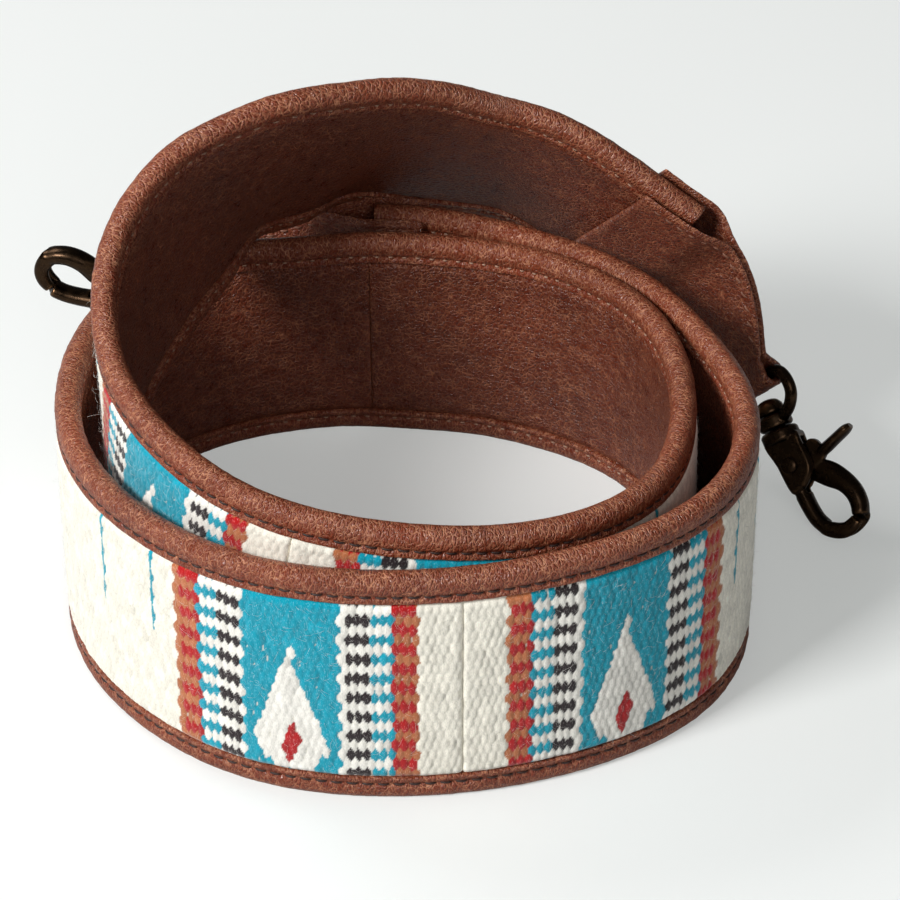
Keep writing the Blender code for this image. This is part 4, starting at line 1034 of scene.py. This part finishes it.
def eye_shape(name, surface):
    """A bent wire eye with a pierced boss where the stud goes through."""
    radius = EYE_WIRE / 2
    rows = [(EYE_DEPTH * a, EYE_HALF_WIDTH * u, radius, radius, 0) for a, u in EYE_SHARES]
    eye = plane_bar(name, smooth_rows(rows, 6, closed=True), surface, closed=True)
    low = EYE_DEPTH - BOSS_HEIGHT / 2
    high = EYE_DEPTH + BOSS_HEIGHT / 2
    soft = BOSS_HEIGHT * 0.15
    rim = [
        (low, BOSS_RADIUS - soft), (low + soft, BOSS_RADIUS), (high - soft, BOSS_RADIUS),
        (high, BOSS_RADIUS - soft)
    ]
    combine(eye, [lathe("boss", rim, surface)], "UNION")
    bore = lathe("bore", [(low - BOSS_HEIGHT, BORE_RADIUS), (high + BOSS_HEIGHT, BORE_RADIUS)], surface)
    combine(eye, [bore], "DIFFERENCE")
    cast(eye)
    return eye


def stud_shape(name, surface):
    """A domed rivet head inside the eye, on a plain shank."""
    under = EYE_DEPTH - BOSS_HEIGHT / 2 - GAP
    top = under - STUD_HEAD_HEIGHT
    profile = [(top + STUD_HEAD_HEIGHT * down, STUD_HEAD_RADIUS * out) for down, out in STUD_HEAD_SHARES]
    profile += [(under, STUD_RADIUS), (collar_start() + STUD_DEPTH, STUD_RADIUS)]
    stud = lathe(name, profile, surface)
    mark_wear(stud)
    return stud


def turned_crosswise(obj, place):
    """Turns a lathed shape so that its axis lies across the hook, at this place along it."""
    obj.data.transform(Matrix.Translation((place, 0, 0)) @ Matrix.Rotation(math.pi / 2, 4, "Y"))
    return obj


def body_shape(name, surface):
    """Collar, block and fixed arm in one casting, slotted for the lever and bored for the stud and the pin."""
    start = collar_start()
    soft = COLLAR_HEIGHT * 0.18
    rim = [(start, COLLAR_RADIUS - soft), (start + soft, COLLAR_RADIUS)]
    rim += [(start + COLLAR_HEIGHT - soft, COLLAR_RADIUS), (start + COLLAR_HEIGHT, COLLAR_RADIUS - soft)]
    body = lathe(name, rim, surface)
    outline = smooth_rows(hook_rows(BLOCK_SHARES), 4, closed=True)
    solid = plate("solid", outline, BODY_HALF_THICKNESS, BODY_HALF_THICKNESS * 0.25, surface)
    arm = plane_bar("arm", smooth_rows(hook_rows(FIXED_ARM_SHARES), 6), surface)
    combine(body, [solid], "UNION")
    combine(body, [arm], "UNION")
    low = (start + COLLAR_HEIGHT + GAP, HOOK_LENGTH * SLOT_FLOOR_SHARE, -SLOT_HALF_WIDTH)
    slot = block("slot", low, (hook_along(SLOT_END_SHARE), HOOK_LENGTH, SLOT_HALF_WIDTH), surface)
    well = lathe(
        "well", [(start - COLLAR_HEIGHT, STUD_RADIUS + GAP), (start + STUD_DEPTH + GAP, STUD_RADIUS + GAP)],
        surface
    )
    hole = lathe(
        "hole", [(-COLLAR_RADIUS * 2, PIN_RADIUS + GAP), (COLLAR_RADIUS * 2, PIN_RADIUS + GAP)], surface
    )
    turned_crosswise(hole, hook_along(PIN_SHARE))
    combine(body, [slot, well, hole], "DIFFERENCE")
    cast(body)
    return body


def pin_shape(name, surface):
    """A peened pin: a low dome on each side of the body."""
    reach = BODY_HALF_THICKNESS + GAP
    turn = np.linspace(0.1, 1.0, 7) * np.pi / 2
    head = [(-reach - PIN_HEAD_HEIGHT * math.cos(t), PIN_HEAD_RADIUS * math.sin(t)) for t in turn]
    profile = head + [(-reach, PIN_RADIUS), (reach, PIN_RADIUS)] + [
        (-along, radius) for along, radius in reversed(head)
    ]
    pin = turned_crosswise(lathe(name, profile, surface), hook_along(PIN_SHARE))
    mark_wear(pin)
    return pin


def lever_shape(name, surface):
    """Cheek plate, curved gate and thumb piece in one casting, with the pin's hole at its origin."""
    outline = smooth_rows(np.array(LEVER_PLATE_SHARES) * HOOK_LENGTH, 3, closed=True)
    lever = plate(name, outline, LEVER_HALF_THICKNESS, LEVER_HALF_THICKNESS * 0.2, surface)
    combine(
        lever, [plane_bar("gate", smooth_rows(np.array(GATE_ARM_SHARES) * HOOK_LENGTH, 6), surface)],
        "UNION"
    )
    combine(
        lever, [plane_bar("thumb", smooth_rows(np.array(THUMB_SHARES) * THUMB_LENGTH, 6), surface)], "UNION"
    )
    hole = lathe("hole", [(-COLLAR_RADIUS, PIN_RADIUS), (COLLAR_RADIUS, PIN_RADIUS)], surface)
    hole.data.transform(Matrix.Rotation(math.pi / 2, 4, "Y"))
    combine(lever, [hole], "DIFFERENCE")
    cast(lever)
    return lever


def spring_shape(name, surface):
    """A round wire wound as a helix, place = (r cos a, rise, r sin a), between the slot's floor and the lever's heel."""
    radius = SPRING_WIRE / 2
    low = HOOK_LENGTH * SLOT_FLOOR_SHARE + GAP + radius
    high = HOOK_LENGTH * SPRING_TOP_SHARE - GAP - radius
    turn = np.linspace(0, 2 * np.pi * SPRING_TURNS, SPRING_TURNS * 24 + 1)
    rise = np.linspace(low, high, len(turn))
    place = np.stack([SPRING_RADIUS * np.cos(turn), rise, SPRING_RADIUS * np.sin(turn)], axis=1)
    ahead = unit(np.gradient(place, axis=0))
    beside = np.stack([np.cos(turn), np.zeros(len(turn)), np.sin(turn)], axis=1)
    upward = np.cross(ahead, beside)
    round_wire = np.arange(10) * np.pi / 5
    ring = beside[:, None] * np.cos(round_wire)[None, :, None] + upward[:, None] * np.sin(round_wire)[
        None, :, None
    ]
    spring = swept_piece(name, place[:, None] + radius * ring, surface)
    spring.data.transform(Matrix.Translation((hook_along(PIN_SHARE + SPRING_PLACE_SHARE), 0, 0)))
    mark_wear(spring)
    return spring


bronze = bronze_surface("dark_bronze_plating", (34, 27, 22), (158, 118, 82))
steel = bronze_surface("drawn_steel", (80, 78, 74), (150, 148, 144))
for end in ("right", "left"):
    bar = unit(np.array(joint(f"eye_swing_{end}")["axis"]))
    origin = np.array(joint(f"eye_swing_{end}")["pos_m"])
    stud_line = unit(np.array(joint(f"hook_swivel_{end}")["axis"]))
    loop_line = unit(np.cross(np.array(joint(f"trigger_pull_{end}")["axis"]), stud_line))
    finish_metal(
        eye_shape(f"eye_casting_{end}", bronze), origin, stud_line, bar, f"swivel_eye_{end}", f"eye_{end}"
    )
    finish_metal(
        stud_shape(f"stud_rivet_{end}", bronze), origin, stud_line, loop_line, f"swivel_stud_{end}",
        f"hook_{end}"
    )
    finish_metal(
        body_shape(f"hook_casting_{end}", bronze), origin, stud_line, loop_line, f"hook_body_{end}",
        f"hook_{end}"
    )
    finish_metal(
        pin_shape(f"peened_pin_{end}", bronze), origin, stud_line, loop_line, f"lever_pin_{end}",
        f"hook_{end}"
    )
    lever = lever_shape(f"lever_casting_{end}", bronze)
    finish_metal(
        lever, origin, stud_line, loop_line, f"trigger_lever_{end}", f"trigger_{end}", hook_along(PIN_SHARE)
    )
    spring = spring_shape(f"coil_spring_{end}", steel)
    finish_metal(
        spring, origin, stud_line, loop_line, f"lever_spring_{end}", f"hook_{end}"
    )

# Floor, light and camera
# A plain pale sweep under the strap, a soft key lamp from the front left, two weaker ones in front and behind on
# the left, and a faint even sky.

CAMERA_PLACE = (0.000826, -0.586102, 0.4685)
CAMERA_TILT = 53.13
CAMERA_LENS = 158.0
FLOOR_HALF = 3.0
FLOOR_DROP = 0.00005
WORLD_STRENGTH = 0.07
FLOOR_GLOW = 0.35


def floor_surface():
    """A pale matt floor, which the camera sees a little brighter than its light, as in the photo."""
    made, tree, shader = new_surface("pale_floor", 0.9)
    shader.inputs["Specular IOR Level"].default_value = 0.1
    place = node(tree, "ShaderNodeTexCoord").outputs["Object"]
    cloud = node(tree, "ShaderNodeTexNoise", {"Vector": place, "Scale": 1.5})
    tone = colour_mix(tree, cloud.outputs["Fac"], (0.60, 0.61, 0.60, 1), (0.63, 0.64, 0.63, 1))
    tree.links.new(tone.outputs[2], shader.inputs["Base Color"])
    shader.inputs["Emission Color"].default_value = (0.97, 1.0, 0.98, 1)
    ray = node(tree, "ShaderNodeLightPath")
    glow = node(
        tree, "ShaderNodeMath", {0: ray.outputs["Is Camera Ray"], 1: FLOOR_GLOW}, operation="MULTIPLY"
    )
    tree.links.new(glow.outputs[0], shader.inputs["Emission Strength"])
    return made


corners = np.array([[-1.0, -1, 0], [1, -1, 0], [1, 1, 0], [-1, 1, 0]]) * FLOOR_HALF
corners[:, 2] = -FLOOR_DROP
floor = mesh_piece("floor", corners, [[0, 1, 2, 3]], floor_surface())


def lamp(name, place, target, size, power):
    """A square soft lamp at this place, turned to face the target."""
    light = bpy.data.lights.new(name, "AREA")
    light.shape = "SQUARE"
    light.size = size
    light.energy = power
    obj = bpy.data.objects.new(name, light)
    bpy.context.scene.collection.objects.link(obj)
    first = unit(np.array(place, dtype=float) - np.array(target, dtype=float))
    side = unit(np.cross((0, 0, 1), first))
    matrix = np.eye(4)
    matrix[:3, 0] = side
    matrix[:3, 1] = np.cross(first, side)
    matrix[:3, 2] = first
    matrix[:3, 3] = place
    obj.matrix_world = Matrix(matrix.tolist())


lamp("side_lamp", (-0.75, -0.60, 0.80), (0, 0, 0.03), 0.36, 14.8)
lamp("front_lamp", (0.2, -1.1, 0.8), (0, 0, 0.03), 0.6, 3.0)
lamp("back_lamp", (-0.70, 0.55, 0.95), (0, 0, 0.03), 0.45, 4.5)

world = bpy.data.worlds.new("sky")
world.use_nodes = True
bpy.context.scene.world = world
sky = world.node_tree.nodes["Background"]
sky.inputs["Color"].default_value = (0.95, 0.97, 1.0, 1)
sky.inputs["Strength"].default_value = WORLD_STRENGTH

camera = bpy.data.cameras.new("camera")
camera.lens = CAMERA_LENS
camera.sensor_width = 36.0
camera.clip_start = 0.05
camera_object = bpy.data.objects.new("camera", camera)
camera_object.location = CAMERA_PLACE
camera_object.rotation_euler = (math.radians(CAMERA_TILT), 0, 0)
bpy.context.scene.collection.objects.link(camera_object)
bpy.context.scene.camera = camera_object
bpy.context.scene.view_settings.view_transform = "Standard"
